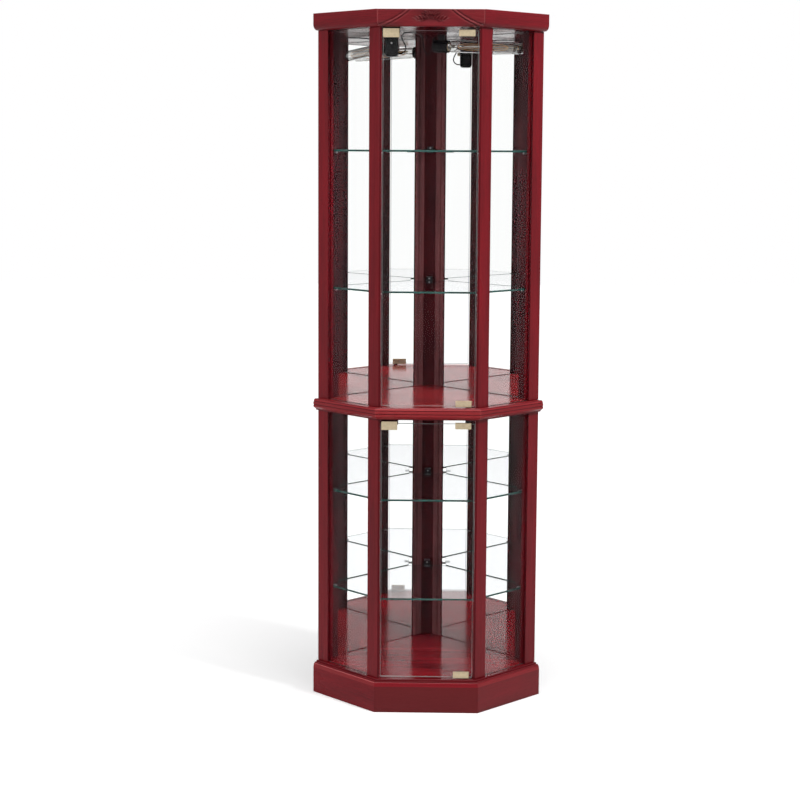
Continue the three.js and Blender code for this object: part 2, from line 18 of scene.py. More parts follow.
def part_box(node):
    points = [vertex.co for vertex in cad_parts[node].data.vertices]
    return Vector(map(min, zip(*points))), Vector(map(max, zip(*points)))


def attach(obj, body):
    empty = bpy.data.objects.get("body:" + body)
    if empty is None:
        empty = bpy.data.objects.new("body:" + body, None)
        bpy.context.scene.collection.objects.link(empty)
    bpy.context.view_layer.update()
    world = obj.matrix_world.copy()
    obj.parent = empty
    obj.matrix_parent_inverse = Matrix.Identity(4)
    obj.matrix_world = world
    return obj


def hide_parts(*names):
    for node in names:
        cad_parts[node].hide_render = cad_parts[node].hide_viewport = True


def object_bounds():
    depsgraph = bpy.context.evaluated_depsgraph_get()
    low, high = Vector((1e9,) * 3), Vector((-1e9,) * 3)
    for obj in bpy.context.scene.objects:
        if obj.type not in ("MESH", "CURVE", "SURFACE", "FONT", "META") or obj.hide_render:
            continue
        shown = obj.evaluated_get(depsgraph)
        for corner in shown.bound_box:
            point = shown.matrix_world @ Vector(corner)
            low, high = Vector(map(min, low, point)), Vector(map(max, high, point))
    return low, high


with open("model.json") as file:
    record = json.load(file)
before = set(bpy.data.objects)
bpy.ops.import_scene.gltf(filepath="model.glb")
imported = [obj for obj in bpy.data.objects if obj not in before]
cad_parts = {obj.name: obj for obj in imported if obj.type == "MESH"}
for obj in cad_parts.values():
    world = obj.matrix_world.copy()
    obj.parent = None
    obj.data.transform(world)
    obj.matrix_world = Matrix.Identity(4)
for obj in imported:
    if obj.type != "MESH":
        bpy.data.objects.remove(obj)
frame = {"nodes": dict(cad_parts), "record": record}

bl_info = {
    "name": "Corner Curio Cabinet",
    "version": (1, 0, 0),
    "blender": (4, 5, 0),
    "location": "3D View > Sidebar > Cabinet",
    "description": "Builds the wood, glass, fittings and lamp of a corner curio cabinet",
    "category": "Object",
}

MM = 0.001
CAD_LOW, CAD_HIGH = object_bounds()
BODIES = frame["record"]["behaviour"]["bodies"]
BODY_OF = {node: body for body, nodes in BODIES.items() for node in nodes}
CABINET = "cabinet"
TIERS = ("lower", "upper")
SIDES = {"left": -1, "right": 1}
FORWARDS = Vector((0, -1, 0))
BACKWARDS = Vector((0, 1, 0))
UPWARDS = Vector((0, 0, 1))
DOWNWARDS = Vector((0, 0, -1))


def place(x, y, z):
    """A point of the plan, in millimetres, as a point of the frame, in metres."""
    return Vector((x * MM, y * MM + CAD_LOW.y, z * MM))


# ---- Settings ----


def a_colour(name, description, default):
    return FloatVectorProperty(
        name=name, description=description, default=default, subtype="COLOR", size=3, min=0, max=1
    )


def a_length(name, description, default):
    return FloatProperty(name=name, description=description, default=default, min=0, unit="LENGTH")


def an_angle(name, description, degrees):
    radians = math.radians(degrees)
    return FloatProperty(name=name, description=description, default=radians, subtype="ANGLE")


class WoodSettings(bpy.types.PropertyGroup):
    stain: a_colour("Stain", "Red stain on the posts and mouldings", (0.168, 0.004, 0.009))
    deep: a_colour("Deep stain", "Stain where the grain drinks more", (0.085, 0.003, 0.006))
    # The moulding and run stains are the cherry lightened as painted top light on the waist's
    # upward faces
    moulding: a_colour("Moulding stain", "Stain of the waist's front", (0.25, 0.024, 0.026))
    run: a_colour("Run stain", "Stain of the waist's sides", (0.2, 0.012, 0.015))
    plinth: a_colour("Plinth stain", "Stain of the front and right board", (0.1, 0.007, 0.009))
    crown: a_colour("Crown stain", "Stain of the carved front board", (0.122, 0.007, 0.01))
    # Painted shade: the stain of faces inside the cabinet and of the plinth's back rails
    shaded: a_colour("Shaded stain", "Stain inside the cabinet", (0.016, 0.006, 0.008))
    # Painted shade in the corner post's hollow, also the darker colour of other shaded finishes;
    # the rib stain below is the ribs lightened as painted light
    corner: a_colour("Corner stain", "Stain in the corner post's hollow", (0.055, 0.003, 0.005))
    rib: a_colour("Rib stain", "Stain on the ribs of the corner post", (0.21, 0.065, 0.068))
    floor: a_colour("Floor stain", "Stain of the upper tier's floor", (0.17, 0.012, 0.014))
    floor_deep: a_colour("Deep floor stain", "Floor stain in the grain", (0.115, 0.007, 0.009))
    # The base stain is darker than the floor stain, painted shade for the lower tier that gets
    # less light
    base: a_colour("Base stain", "Stain of the lower tier's floor", (0.14, 0.006, 0.009))
    # Painted highlight along the plinth's left top edge and on the waist front's mitre lines
    rubbed: a_colour("Rubbed stain", "Stain along the plinth's left edge", (0.45, 0.12, 0.12))
    # Pale colour of the painted highlights on the carving's rims, arcs, foot and ends
    worn: a_colour("Worn stain", "Wood where the carving is rubbed thin", (0.5, 0.17, 0.17))
    arris: a_length("Arris", "Width of the softened edges of posts and crown", 0.0009)
    fine_arris: a_length("Fine arris", "Width of the softened edges of fillets", 0.00025)
    lacquer_roughness: FloatProperty(
        name="Lacquer roughness", description="Roughness of the lacquer", default=0.3, min=0,
        max=1, subtype="FACTOR",
    )


class GlassSettings(bpy.types.PropertyGroup):
    tint: a_colour("Tint", "Colour of clear glass through its faces", (0.995, 1.0, 0.998))
    shelf_tint: a_colour("Shelf tint", "Colour of shelves through their faces", (0.84, 0.85, 0.87))
    bulb_tint: a_colour("Bulb tint", "Colour of the bulb's glass", (0.93, 0.93, 0.92))
    rim: a_colour("Rim", "Colour of a shelf's edge, seen along the sheet", (0.008, 0.03, 0.026))
    # Painted reflection: the doors' edges are a paler grey than the other glass edges
    door_rim: a_colour("Door rim", "Colour of a door's edge", (0.13, 0.14, 0.135))
    dark_rim: a_colour("Dark rim", "Colour of a fixed sheet's edge", (0.02, 0.03, 0.028))
    arris: a_length("Arris", "Width of the ground edges of glass sheets", 0.0004)
    door_arris: a_length("Door arris", "Width of the ground edges of the doors", 0.001)
    mirror_arris: a_length("Mirror arris", "Width of the dark edges of the mirrors", 0.0011)


class FittingSettings(bpy.types.PropertyGroup):
    brass: a_colour("Brass", "Colour of the hinge clips and strikes", (0.52, 0.43, 0.29))
    plastic: a_colour("Plastic", "Colour of the black plastic", (0.007, 0.007, 0.0075))
    steel: a_colour("Steel", "Colour of pins and screws", (0.5, 0.5, 0.5))
    black_steel: a_colour("Black steel", "Colour of the shelf clips", (0.03, 0.03, 0.032))
    arris: a_length("Arris", "Width of the softened edges of fittings", 0.0004)


class LampSettings(bpy.types.PropertyGroup):
    wall: a_length("Bulb wall", "Thickness of the bulb's glass", 0.0008)
    filament: a_colour("Filament", "Colour of the filament's coating", (0.66, 0.31, 0.07))


class StageSettings(bpy.types.PropertyGroup):
    floor: a_colour("Floor", "Colour of the studio floor", (0.66, 0.66, 0.66))
    lens: FloatProperty(
        name="Lens", description="Focal length on a 36 mm sensor", default=78.138, min=1
    )
    heading: an_angle("Heading", "Turn of the camera to the left", 1.0508)
    dip: an_angle("Dip", "How far the camera looks down", 6.9832)
    tilt: an_angle("Tilt", "Roll of the camera", 0.3289)


# ---- Finishes ----


def put(tree, kind, inputs=None, **settings):
    """Adds a node. An input is a value, or the output of another node."""
    node = tree.nodes.new("ShaderNode" + kind)
    for name, value in settings.items():
        setattr(node, name, value)
    for name, value in (inputs or {}).items():
        socket = node.inputs[name]
        if isinstance(value, bpy.types.NodeSocket):
            tree.links.new(value, socket)
        else:
            socket.default_value = value
    return node


def opaque(colour):
    return (*colour, 1.0)


def scaled(colour, share):
    return opaque([min(1.0, part * share) for part in colour])


def surface_point(tree, scale=(1, 1, 1), turn=0.0):
    """Object coordinates, turned about the upright axis and then stretched."""
    source = put(tree, "TexCoord").outputs["Object"]
    turned = put(tree, "Mapping", {"Vector": source, "Rotation": (0, 0, turn)}).outputs["Vector"]
    return put(tree, "Mapping", {"Vector": turned, "Scale": scale}).outputs["Vector"]


def noise(tree, vector, scale, detail=2.0, roughness=0.5):
    inputs = {"Vector": vector, "Scale": scale, "Detail": detail, "Roughness": roughness}
    return put(tree, "TexNoise", inputs).outputs["Fac"]


def remap(tree, value, low, high, to_low, to_high):
    inputs = {"Value": value, "From Min": low, "From Max": high}
    return put(tree, "MapRange", {**inputs, "To Min": to_low, "To Max": to_high}).outputs["Result"]


def spread(tree, value, low, high):
    """A noise spread from low to high. Most of its values lie between 0.3 and 0.7."""
    return remap(tree, value, 0.3, 0.7, low, high)


def blend_colours(tree, factor, first, second):
    inputs = {0: factor, 6: first, 7: second}
    return put(tree, "Mix", inputs, data_type="RGBA").outputs[2]


def bumped(tree, height, strength, distance):
    inputs = {"Strength": strength, "Distance": distance, "Height": height}
    return put(tree, "Bump", inputs).outputs["Normal"]


def principled(tree, colour, roughness, more=None):
    """The shader of a finish. more holds its other inputs by name."""
    inputs = {"Base Color": colour, "Roughness": roughness, **(more or {})}
    return put(tree, "BsdfPrincipled", inputs).outputs[0]


# Scale of the wood's patterns along the grain, which draws them out
GRAIN_STRETCH = 0.06
CLOUD_STRETCH = 0.35


def stained_wood(tree, stain, deep, roughness, specular, along, turn=0.0, worn=None):
    """Cherry wood under lacquer. along is the axis of the grain after the turn: 0, 1 or 2. A
    carved board is darkened by its attribute recess, as painted shade, and lightened towards a
    pale colour by its glint attribute, as painted highlights."""

    def stretched(share):
        scales = [share if axis == along else 1.0 for axis in range(3)]
        return surface_point(tree, scales, turn)

    grain = stretched(GRAIN_STRETCH)
    cloud = noise(tree, stretched(CLOUD_STRETCH), scale=9.0, detail=3.0)
    fibre = noise(tree, grain, scale=420.0, detail=4.0, roughness=0.65)
    figure = noise(tree, grain, scale=55.0, detail=3.0, roughness=0.6)
    pore = noise(tree, grain, scale=900.0, detail=1.0)
    clouded = remap(tree, cloud, 0.32, 0.68, 0.0, 0.6)
    figured = remap(tree, figure, 0.35, 0.7, 0.0, 0.55)
    depth = put(tree, "Math", {0: clouded, 1: figured}, operation="ADD", use_clamp=True).outputs[0]
    tone = blend_colours(tree, depth, opaque(stain), opaque(deep))
    open_pores = remap(tree, pore, 0.6, 0.72, 0.0, 0.55)
    pored = blend_colours(tree, open_pores, tone, scaled(deep, 0.45))
    light_fibres = remap(tree, fibre, 0.35, 0.65, 0.0, 0.35)
    colour = blend_colours(tree, light_fibres, pored, scaled(stain, 1.25))
    if worn is not None:
        recess_share = put(tree, "Attribute", attribute_name="recess").outputs["Fac"]
        glint_share = put(tree, "Attribute", attribute_name="worn").outputs["Fac"]
        colour = blend_colours(tree, recess_share, colour, scaled(deep, 0.12))
        colour = blend_colours(tree, glint_share, colour, opaque(worn))
    gloss = spread(tree, cloud, roughness * 0.85, roughness * 1.2)
    relief = bumped(tree, fibre, 0.12, 0.0003)
    more = {"Normal": relief, "Specular IOR Level": specular, "IOR": 1.5}
    return principled(tree, colour, gloss, more)


def clear_glass(tree, tint, bending, outline=None):
    """Glass that lets the lamps' light through to what is behind it. bending is its index of
    refraction, and outline is the share of light that gets through where it is seen edge on, a
    painted shade that stands in for the dark reflections along a bulb's outline."""
    smear = noise(tree, surface_point(tree), scale=14.0, detail=3.0)
    colour = blend_colours(tree, smear, opaque(tint), scaled(tint, 1.004))
    if outline is not None:
        facing = put(tree, "LayerWeight", {"Blend": 0.3}).outputs["Facing"]
        colour = blend_colours(tree, facing, colour, scaled(tint, outline))
    haze = remap(tree, smear, 0.35, 0.75, 0.0, 0.004)
    glass = principled(tree, colour, haze, {"IOR": bending, "Transmission Weight": 1.0})
    shadow = put(tree, "LightPath").outputs["Is Shadow Ray"]
    through = put(tree, "BsdfTransparent", {"Color": opaque(tint)}).outputs[0]
    return put(tree, "MixShader", {0: shadow, 1: glass, 2: through}).outputs[0]


def glass_rim(tree, colour, depth_colour):
    """Edge of a sheet, where the light has come a long way through the glass. The doors' paler
    rims are a painted reflection.
    """
    bands = noise(tree, surface_point(tree, (1, 1, 6)), scale=30.0, detail=3.0)
    tone = blend_colours(tree, spread(tree, bands, 0, 1), opaque(colour), opaque(depth_colour))
    gloss = spread(tree, bands, RIM_ROUGHNESS * 0.7, RIM_ROUGHNESS * 1.3)
    return principled(tree, tone, gloss, {"Specular IOR Level": 0.25})


def silvered(tree, bright, dull):
    cloud = noise(tree, surface_point(tree), scale=5.0)
    tone = blend_colours(tree, cloud, opaque(dull), opaque(bright))
    return principled(tree, tone, spread(tree, cloud, 0.0, 0.006), {"Metallic": 1.0})


def backing_paint(tree, dark, light):
    speckle = noise(tree, surface_point(tree), scale=160.0, detail=3.0)
    tone = blend_colours(tree, spread(tree, speckle, 0, 1), opaque(dark), opaque(light))
    relief = bumped(tree, speckle, 0.2, 0.0002)
    return principled(tree, tone, spread(tree, speckle, 0.55, 0.75), {"Normal": relief})


def brushed_metal(tree, colour, roughness, stretch=(0.08, 1, 1), scale=900.0):
    lines = noise(tree, surface_point(tree, stretch), scale)
    stain = noise(tree, surface_point(tree), scale=160.0, detail=4.0, roughness=0.7)
    stained = remap(tree, stain, 0.35, 0.7, 0, 0.8)
    tone = blend_colours(tree, stained, opaque(colour), scaled(colour, 0.68))
    relief = bumped(tree, lines, 0.1, 0.0001)
    gloss = spread(tree, lines, roughness * 0.85, roughness * 1.15)
    return principled(tree, tone, gloss, {"Metallic": 1.0, "Normal": relief})


def moulded_plastic(tree, colour, roughness):
    texture = noise(tree, surface_point(tree), scale=1100.0)
    cloud = noise(tree, surface_point(tree), scale=45.0)
    tone = blend_colours(tree, cloud, opaque(colour), scaled(colour, 1.6))
    relief = bumped(tree, texture, 0.15, 0.0001)
    gloss = spread(tree, cloud, roughness * 0.85, roughness * 1.2)
    more = {"Normal": relief, "Specular IOR Level": 0.15, "IOR": 1.5}
    return principled(tree, tone, gloss, more)


def filament_with_painted_glow(tree, colour):
    coil = noise(tree, surface_point(tree), scale=2500.0, detail=1.0)
    tone = blend_colours(tree, coil, opaque(colour), scaled(colour, 0.6))
    # A faint painted glow that makes the filament stand out, though it is no lamp
    more = {"Emission Color": tone, "Emission Strength": 0.15}
    return principled(tree, tone, spread(tree, coil, 0.35, 0.6), more)


# Axes that a board's grain can follow
ACROSS, UPRIGHT = 0, 2
# Cherry finishes as (stain, stain in thirsty grain, roughness or None for that of the lacquer,
# specular level, axis of the grain, turn of the grain in degrees)
CHERRY = {
    "upright cherry": ("stain", "deep", None, 0.12, UPRIGHT, 0),
    "left run cherry": ("stain", "deep", None, 0.12, ACROSS, 45),
    "right run cherry": ("stain", "deep", None, 0.12, ACROSS, -45),
    # The back rails take the shaded stain as painted shade
    "left rail cherry": ("shaded", "deep", 0.5, 0.3, ACROSS, -45),
    "right rail cherry": ("shaded", "deep", 0.5, 0.3, ACROSS, 45),
    "floor cherry": ("floor", "floor_deep", 0.15, 0.11, ACROSS, 0),
    "base cherry": ("base", "deep", 0.15, 0.09, ACROSS, 0),
    # Lit copies of the cherry: painted top light on the waist and on the plinth's side slopes
    "waist front cherry": ("moulding", "stain", None, 0.16, ACROSS, 0),
    "waist left cherry": ("run", "stain", None, 0.16, ACROSS, 45),
    "waist right cherry": ("run", "stain", None, 0.16, ACROSS, -45),
    "plinth front cherry": ("plinth", "plinth", None, 0.14, ACROSS, 0),
    "plinth right cherry": ("plinth", "stain", None, 0.16, ACROSS, -45),
    # Painted top light on the plinth's front slope and front top edge
    "plinth slope cherry": ("stain", "stain", None, 0.14, ACROSS, 0),
    # Painted shade along the posts' edges at the doors and side panes
    "edge cherry": ("deep", "corner", None, 0.1, UPRIGHT, 0),
    # Painted shade in the waist's grooves and along the panels' rounded edges
    "groove cherry": ("deep", "deep", None, 0.12, ACROSS, 0),
    # Painted highlight: a pale line on edges and mitres
    "rubbed cherry": ("rubbed", "moulding", None, 0.3, UPRIGHT, 0),
    "carved cherry": ("crown", "deep", None, 0.2, ACROSS, 0),
    "rib cherry": ("rib", "shaded", None, 0.2, UPRIGHT, 0),
    # Painted shade: the ceiling's underside in a darker copy of the cherry
    "ceiling cherry": ("deep", "corner", 0.18, 0.06, ACROSS, 0),
    # Painted shade on the posts' faces inside the cabinet
    "inner cherry": ("shaded", "corner", 0.3, 0.12, UPRIGHT, 0),
    "corner cherry": ("corner", "shaded", 0.4, 0.02, UPRIGHT, 0),
}
RIM_ROUGHNESS = 0.16
SHELF_RIM_DEPTH = 1.7
# Painted reflection along the doors' rims
DOOR_RIM_DEPTH_COLOUR = (0.24, 0.255, 0.25)
DARK_RIM_DEPTH_COLOUR = (0.045, 0.055, 0.05)
SILVER_COLOURS = ((0.995, 0.995, 0.995), (0.985, 0.99, 0.985))
BACKING_COLOURS = ((0.12, 0.11, 0.105), (0.17, 0.16, 0.15))
# Low indices of refraction stand for the faint reflections of thin clean sheets
PANE_BENDING = 1.09
SHELF_BENDING = 1.3
BULB_BENDING = 1.35
# Painted shade along the bulb's outline, where its glass is seen edge on
BULB_EDGE_SHADE = 0.12


def cherry_shader(tree, name):
    """Shader of a finish from the table of cherry finishes."""
    wood = bpy.context.scene.cabinet_wood
    stain, deep, roughness, specular, along, degrees = CHERRY[name]
    if roughness is None:
        roughness = wood.lacquer_roughness
    worn = wood.worn if name == "carved cherry" else None
    stain, deep = getattr(wood, stain), getattr(wood, deep)
    turn = math.radians(degrees)
    return stained_wood(tree, stain, deep, roughness, specular, along, turn, worn)


def glass_or_fitting_shader(tree, name):
    """Shader of any other finish, from its maker and what that needs."""
    scene = bpy.context.scene
    glass, fittings = scene.cabinet_glass, scene.cabinet_fittings
    maker, *values = {
        "clear glass": (clear_glass, glass.tint, PANE_BENDING),
        "shelf glass": (clear_glass, glass.shelf_tint, SHELF_BENDING),
        "bulb glass": (clear_glass, glass.bulb_tint, BULB_BENDING, BULB_EDGE_SHADE),
        "door rim": (glass_rim, glass.door_rim, DOOR_RIM_DEPTH_COLOUR),
        "dark rim": (glass_rim, glass.dark_rim, DARK_RIM_DEPTH_COLOUR),
        "shelf rim": (glass_rim, glass.rim, [part * SHELF_RIM_DEPTH for part in glass.rim]),
        "silver": (silvered, *SILVER_COLOURS),
        "backing paint": (backing_paint, *BACKING_COLOURS),
        "brass": (brushed_metal, fittings.brass, 0.46),
        "steel": (brushed_metal, fittings.steel, 0.3, (1, 1, 1), 500.0),
        "black steel": (brushed_metal, fittings.black_steel, 0.38),
        "black plastic": (moulded_plastic, fittings.plastic, 0.36),
        "black rubber": (moulded_plastic, fittings.plastic, 0.5),
        "filament": (filament_with_painted_glow, scene.cabinet_lamp.filament),
    }[name]
    return maker(tree, *values)


def new_material(name, make_shader):
    material = bpy.data.materials.new(name)
    material.use_nodes = True
    tree = material.node_tree
    tree.nodes.clear()
    put(tree, "OutputMaterial", {"Surface": make_shader(tree, name)})
    return material


FINISHES = {}


def finish(name):
    """The finish of that name, made when it is first asked for."""
    if name not in FINISHES:
        make_shader = cherry_shader if name in CHERRY else glass_or_fitting_shader
        FINISHES[name] = new_material(name, make_shader)
    return FINISHES[name]


# ---- Making pieces ----

MERGE_DISTANCE = 2e-6
TUBE_MERGE_DISTANCE = 1e-6
# Loose triangles that turn less than this from each other are one face
FLAT_DEGREES = 0.4
# A sheet's main faces have more than this part of its largest face's area
MAIN_SHARE = 0.4


def new_piece(name, bm, finishes, body=CABINET, replaces=()):
    """Turns a bmesh, which it frees, into a finished piece that rides on a body."""
    mesh = bpy.data.meshes.new(name)
    bm.to_mesh(mesh)
    bm.free()
    for unused in ("custom_normal", "UVMap"):
        if unused in mesh.attributes:
            mesh.attributes.remove(mesh.attributes[unused])
    mesh.shade_smooth()
    piece = bpy.data.objects.new(name, mesh)
    bpy.context.scene.collection.objects.link(piece)
    for finish_name in finishes:
        mesh.materials.append(finish(finish_name))
    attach(piece, body)
    if replaces:
        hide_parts(*replaces)
    return piece


def soften(piece, width, angle=40.0, segments=2):
    """Rounds the sharp edges of a piece and keeps its flat faces flat."""
    bevel = piece.modifiers.new("Softened edges", "BEVEL")
    bevel.width = width
    bevel.segments = segments
    bevel.limit_method = "ANGLE"
    bevel.angle_limit = math.radians(angle)
    bevel.harden_normals = True
    bevel.use_clamp_overlap = True
    return bevel


def keep_sharp(piece, degrees):
    """Shades the edges that turn more than this as corners."""
    piece.data.set_sharp_from_angle(angle=math.radians(degrees))


def merged_copy(node):
    """Copy of a CAD node as whole faces instead of loose triangles."""
    bm = bmesh.new()
    bm.from_mesh(frame["nodes"][node].data)
    bmesh.ops.remove_doubles(bm, verts=bm.verts, dist=MERGE_DISTANCE)
    flat = math.radians(FLAT_DEGREES)
    bmesh.ops.dissolve_limit(bm, angle_limit=flat, verts=bm.verts, edges=bm.edges)
    return bm


def worked(node, ending, finishes, width, choose=None, angle=40.0, segments=2,
           edge_finish=-1):
    """The CAD node as a finished piece with softened edges. choose gives a face's place among
    the finishes, and edge_finish is that of its edges."""
    bm = merged_copy(node)
    if choose:
        for face in bm.faces:
            face.material_index = choose(face)
    piece = new_piece(f"{node}_{ending}", bm, finishes, BODY_OF[node], (node,))
    soften(piece, width, angle, segments).material = edge_finish


def main_faces(node):
    """Tells a sheet's two main faces, 0, from its edges, 1."""
    bm = merged_copy(node)
    largest = max(face.calc_area() for face in bm.faces)
    bm.free()
    return lambda face: 0 if face.calc_area() > largest * MAIN_SHARE else 1


def new_verts(geometry):
    return [item for item in geometry if isinstance(item, bmesh.types.BMVert)]


def spun(profile, start, axis, steps=32):
    """Turned body from (along, radius) points in millimetres, along an axis from its start."""
    bm = bmesh.new()
    axis = axis.normalized()
    outward = axis.orthogonal().normalized()
    points = [start + axis * along * MM + outward * radius * MM for along, radius in profile]
    verts = [bm.verts.new(point) for point in points]
    edges = [bm.edges.new(pair) for pair in zip(verts, verts[1:])]
    bmesh.ops.spin(
        bm, geom=verts + edges, cent=start, axis=axis, angle=2 * math.pi, steps=steps,
        use_merge=True, use_duplicate=False,
    )
    bmesh.ops.remove_doubles(bm, verts=bm.verts, dist=MERGE_DISTANCE)
    bmesh.ops.recalc_face_normals(bm, faces=bm.faces)
    return bm


def merged_meshes(parts):
    """One bmesh from several. Frees the others."""
    whole = bmesh.new()
    for part in parts:
        mesh = bpy.data.meshes.new("part")
        part.to_mesh(mesh)
        part.free()
        whole.from_mesh(mesh)
        bpy.data.meshes.remove(mesh)
    return whole


def block(low, high):
    """Box between two corners."""
    bm = bmesh.new()
    shape = Matrix.Translation((low + high) / 2) @ Matrix.Diagonal((*(high - low), 1))
    bmesh.ops.create_cube(bm, size=1, matrix=shape)
    return bm


# Screw head as (height, radius), and its recess, all in shares of the head's radius
SCREW_DOME = [(0, 1), (0.25, 1), (0.55, 0.8), (0.7, 0.42), (0.72, 0.3)]
SCREW_SHOULDER = 0.5
SCREW_RECESS_RIM = 0.04
SCREW_RECESS_DEPTH = 0.4
SCREW_TURN = 0.4
SCREW_STEPS = 16


def screw(centre, outward, radius):
    """Domed screw head with a recess, seated at the centre and facing outward."""
    dome = [(height * radius, share * radius) for height, share in SCREW_DOME]
    head = spun(dome, Vector(), UPWARDS, SCREW_STEPS)
    open_edges = [edge for edge in head.edges if edge.is_boundary]
    shoulder = SCREW_SHOULDER * radius * MM
    top_edges = [edge for edge in open_edges if edge.verts[0].co.z > shoulder]
    top = bmesh.ops.edgeloop_fill(head, edges=top_edges)["faces"]
    bmesh.ops.inset_region(head, faces=top, thickness=SCREW_RECESS_RIM * radius * MM)
    sunk = list({vert for face in top for vert in face.verts})
    bmesh.ops.translate(head, verts=sunk, vec=(0, 0, -SCREW_RECESS_DEPTH * radius * MM))
    bottom = [edge for edge in head.edges if edge.is_boundary]
    bmesh.ops.edgeloop_fill(head, edges=bottom)
    bmesh.ops.recalc_face_normals(head, faces=head.faces)
    facing = outward.to_track_quat("Z", "Y").to_matrix().to_4x4()
    seat = Matrix.Translation(centre) @ facing @ Matrix.Rotation(SCREW_TURN, 4, "Z")
    bmesh.ops.transform(head, matrix=seat, verts=head.verts)
    return head


def screws(name, centres, outward, radius, body=CABINET):
    """One piece of like screws."""
    heads = [screw(Vector(centre), outward, radius) for centre in centres]
    new_piece(name, merged_meshes(heads), ["steel"], body)


def tube(name, points, radius, closed=False):
    """Round rod along points, as a mesh. The curve that makes it is removed."""
    curve = bpy.data.curves.new(name, "CURVE")
    curve.dimensions = "3D"
    curve.bevel_depth = radius
    curve.bevel_resolution = 3
    curve.resolution_u = 6
    curve.use_fill_caps = True
    spline = curve.splines.new("NURBS")
    spline.points.add(len(points) - 1)
    for point, target in zip(spline.points, points):
        point.co = (*target, 1)
    spline.order_u = 4
    spline.use_endpoint_u = True
    spline.use_cyclic_u = closed
    helper = bpy.data.objects.new(name, curve)
    bpy.context.scene.collection.objects.link(helper)
    bpy.context.view_layer.update()
    evaluated = helper.evaluated_get(bpy.context.evaluated_depsgraph_get())
    mesh = bpy.data.meshes.new_from_object(evaluated)
    bm = bmesh.new()
    bm.from_mesh(mesh)
    bpy.data.meshes.remove(mesh)
    bpy.data.objects.remove(helper)
    bpy.data.curves.remove(curve)
    bmesh.ops.remove_doubles(bm, verts=bm.verts, dist=TUBE_MERGE_DISTANCE)
    bmesh.ops.recalc_face_normals(bm, faces=bm.faces)
    return bm


# ---- Casework ----

# Finishes of a run: its faces, its grooves or slope, the pale lines at its mitres, and its top
# edge. Grooves are painted shade, the slope is painted top light, the mitre lines on the waist's
# front are a painted highlight, and the plinth's top edge is a painted highlight on the left and
# painted top light on the front
PLINTH_FINISHES = {
    "front": ["plinth front cherry", "plinth slope cherry"] * 2,
    "left": ["left run cherry", "waist left cherry", "left run cherry", "rubbed cherry"],
    "right": ["plinth right cherry", "waist right cherry", "plinth right cherry",
              "right run cherry"],
}
WAIST_FINISHES = {
    "front": ["waist front cherry", "groove cherry", "rubbed cherry"],
    "left": ["waist left cherry", "groove cherry", "waist left cherry"],
    "right": ["waist right cherry", "groove cherry", "waist right cherry"],
}
# Outward directions of the three runs of moulding, in plan
OUTWARD = {
    "front": FORWARDS,
    "left": Vector((-1, -1, 0)).normalized(),
    "right": Vector((1, -1, 0)).normalized(),
}
# Waist moulding as (depth below its outermost face, height) in millimetres, from the bottom up
WAIST_OUTLINE = [
    (15.2, 0), (9.4, 0), (9.0, 2.6), (0.3, 9.4), (0.3, 14.2), (1.5, 14.5), (1.5, 16.2),
    (0, 16.5), (0, 22.6), (1.7, 22.9), (1.7, 25.0), (0.9, 25.4), (3.2, 29.0), (4.8, 30.7),
    (15.2, 30.7),
]
# Bands as (bottom, top, place of their finish in the run's list). The waist's bands, its foot,
# its two grooves and its top, take the groove finish as painted shade
WAIST_BANDS = [(0, 3, 1), (14.4, 16.3, 1), (22.8, 25.1, 1), (29, 30.7, 1)]
# Plinth as (depth, height): a plain board with a steep slope, a narrow top edge, a fillet, and
# a ledge for the floor
PLINTH_OUTLINE = [
    (18, 0), (0.6, 0), (0, 0.6), (0, 68.5), (1.8, 78.0), (3.2, 79.0), (4.6, 79.1), (4.8, 82),
    (9.2, 82), (9.2, 70.7), (18, 70.7),
]
# The plinth's slope takes lighter finishes as painted top light, and its narrow top edge a painted
# highlight on the left run
PLINTH_BANDS = [(68.6, 77.9, 1), (78.1, 78.9, 3)]
# Width of the line along a mitre, and the part of it that its faces' middles lie in
MITRE_LINE = 0.8
LINE_SHARE = 0.9
CUT_DISTANCE = 1e-7
# Part of a unit normal from which on a face counts as facing that way
FACING = 0.95
RAIL_ARRIS = 0.0008
PANEL_ARRIS = 0.0005
BASE_ROUND_OVER = 0.0025


def mark_bands(bm, low, bands):
    """Gives the upright faces in each band of height the band's finish."""
    for face in bm.faces:
        height = (face.calc_center_median().z - low) / MM
        for bottom, top, number in bands:
            if bottom < height < top and abs(face.normal.z) < FACING:
                face.material_index = number


def mark_mitre(bm, tip, root, far_tip):
    """Cuts a thin line along a mitre, and gives it finish 2 where the mitre faces sideways."""
    across = UPWARDS.cross(root - tip)
    across.z = 0
    across.normalize()
    if across.dot(far_tip - tip) < 0:
        across.negate()
    cut = tip + across * MITRE_LINE * MM
    everything = bm.faces[:] + bm.edges[:] + bm.verts[:]
    bmesh.ops.bisect_plane(
        bm, geom=everything, dist=CUT_DISTANCE, plane_co=cut, plane_no=across
    )
    if abs(across.x) > abs(across.y):
        for face in bm.faces:
            beyond = (face.calc_center_median() - cut).dot(across)
            on_line = -MITRE_LINE * MM * LINE_SHARE < beyond < 0
            if on_line and face.material_index == 0:
                face.material_index = 2


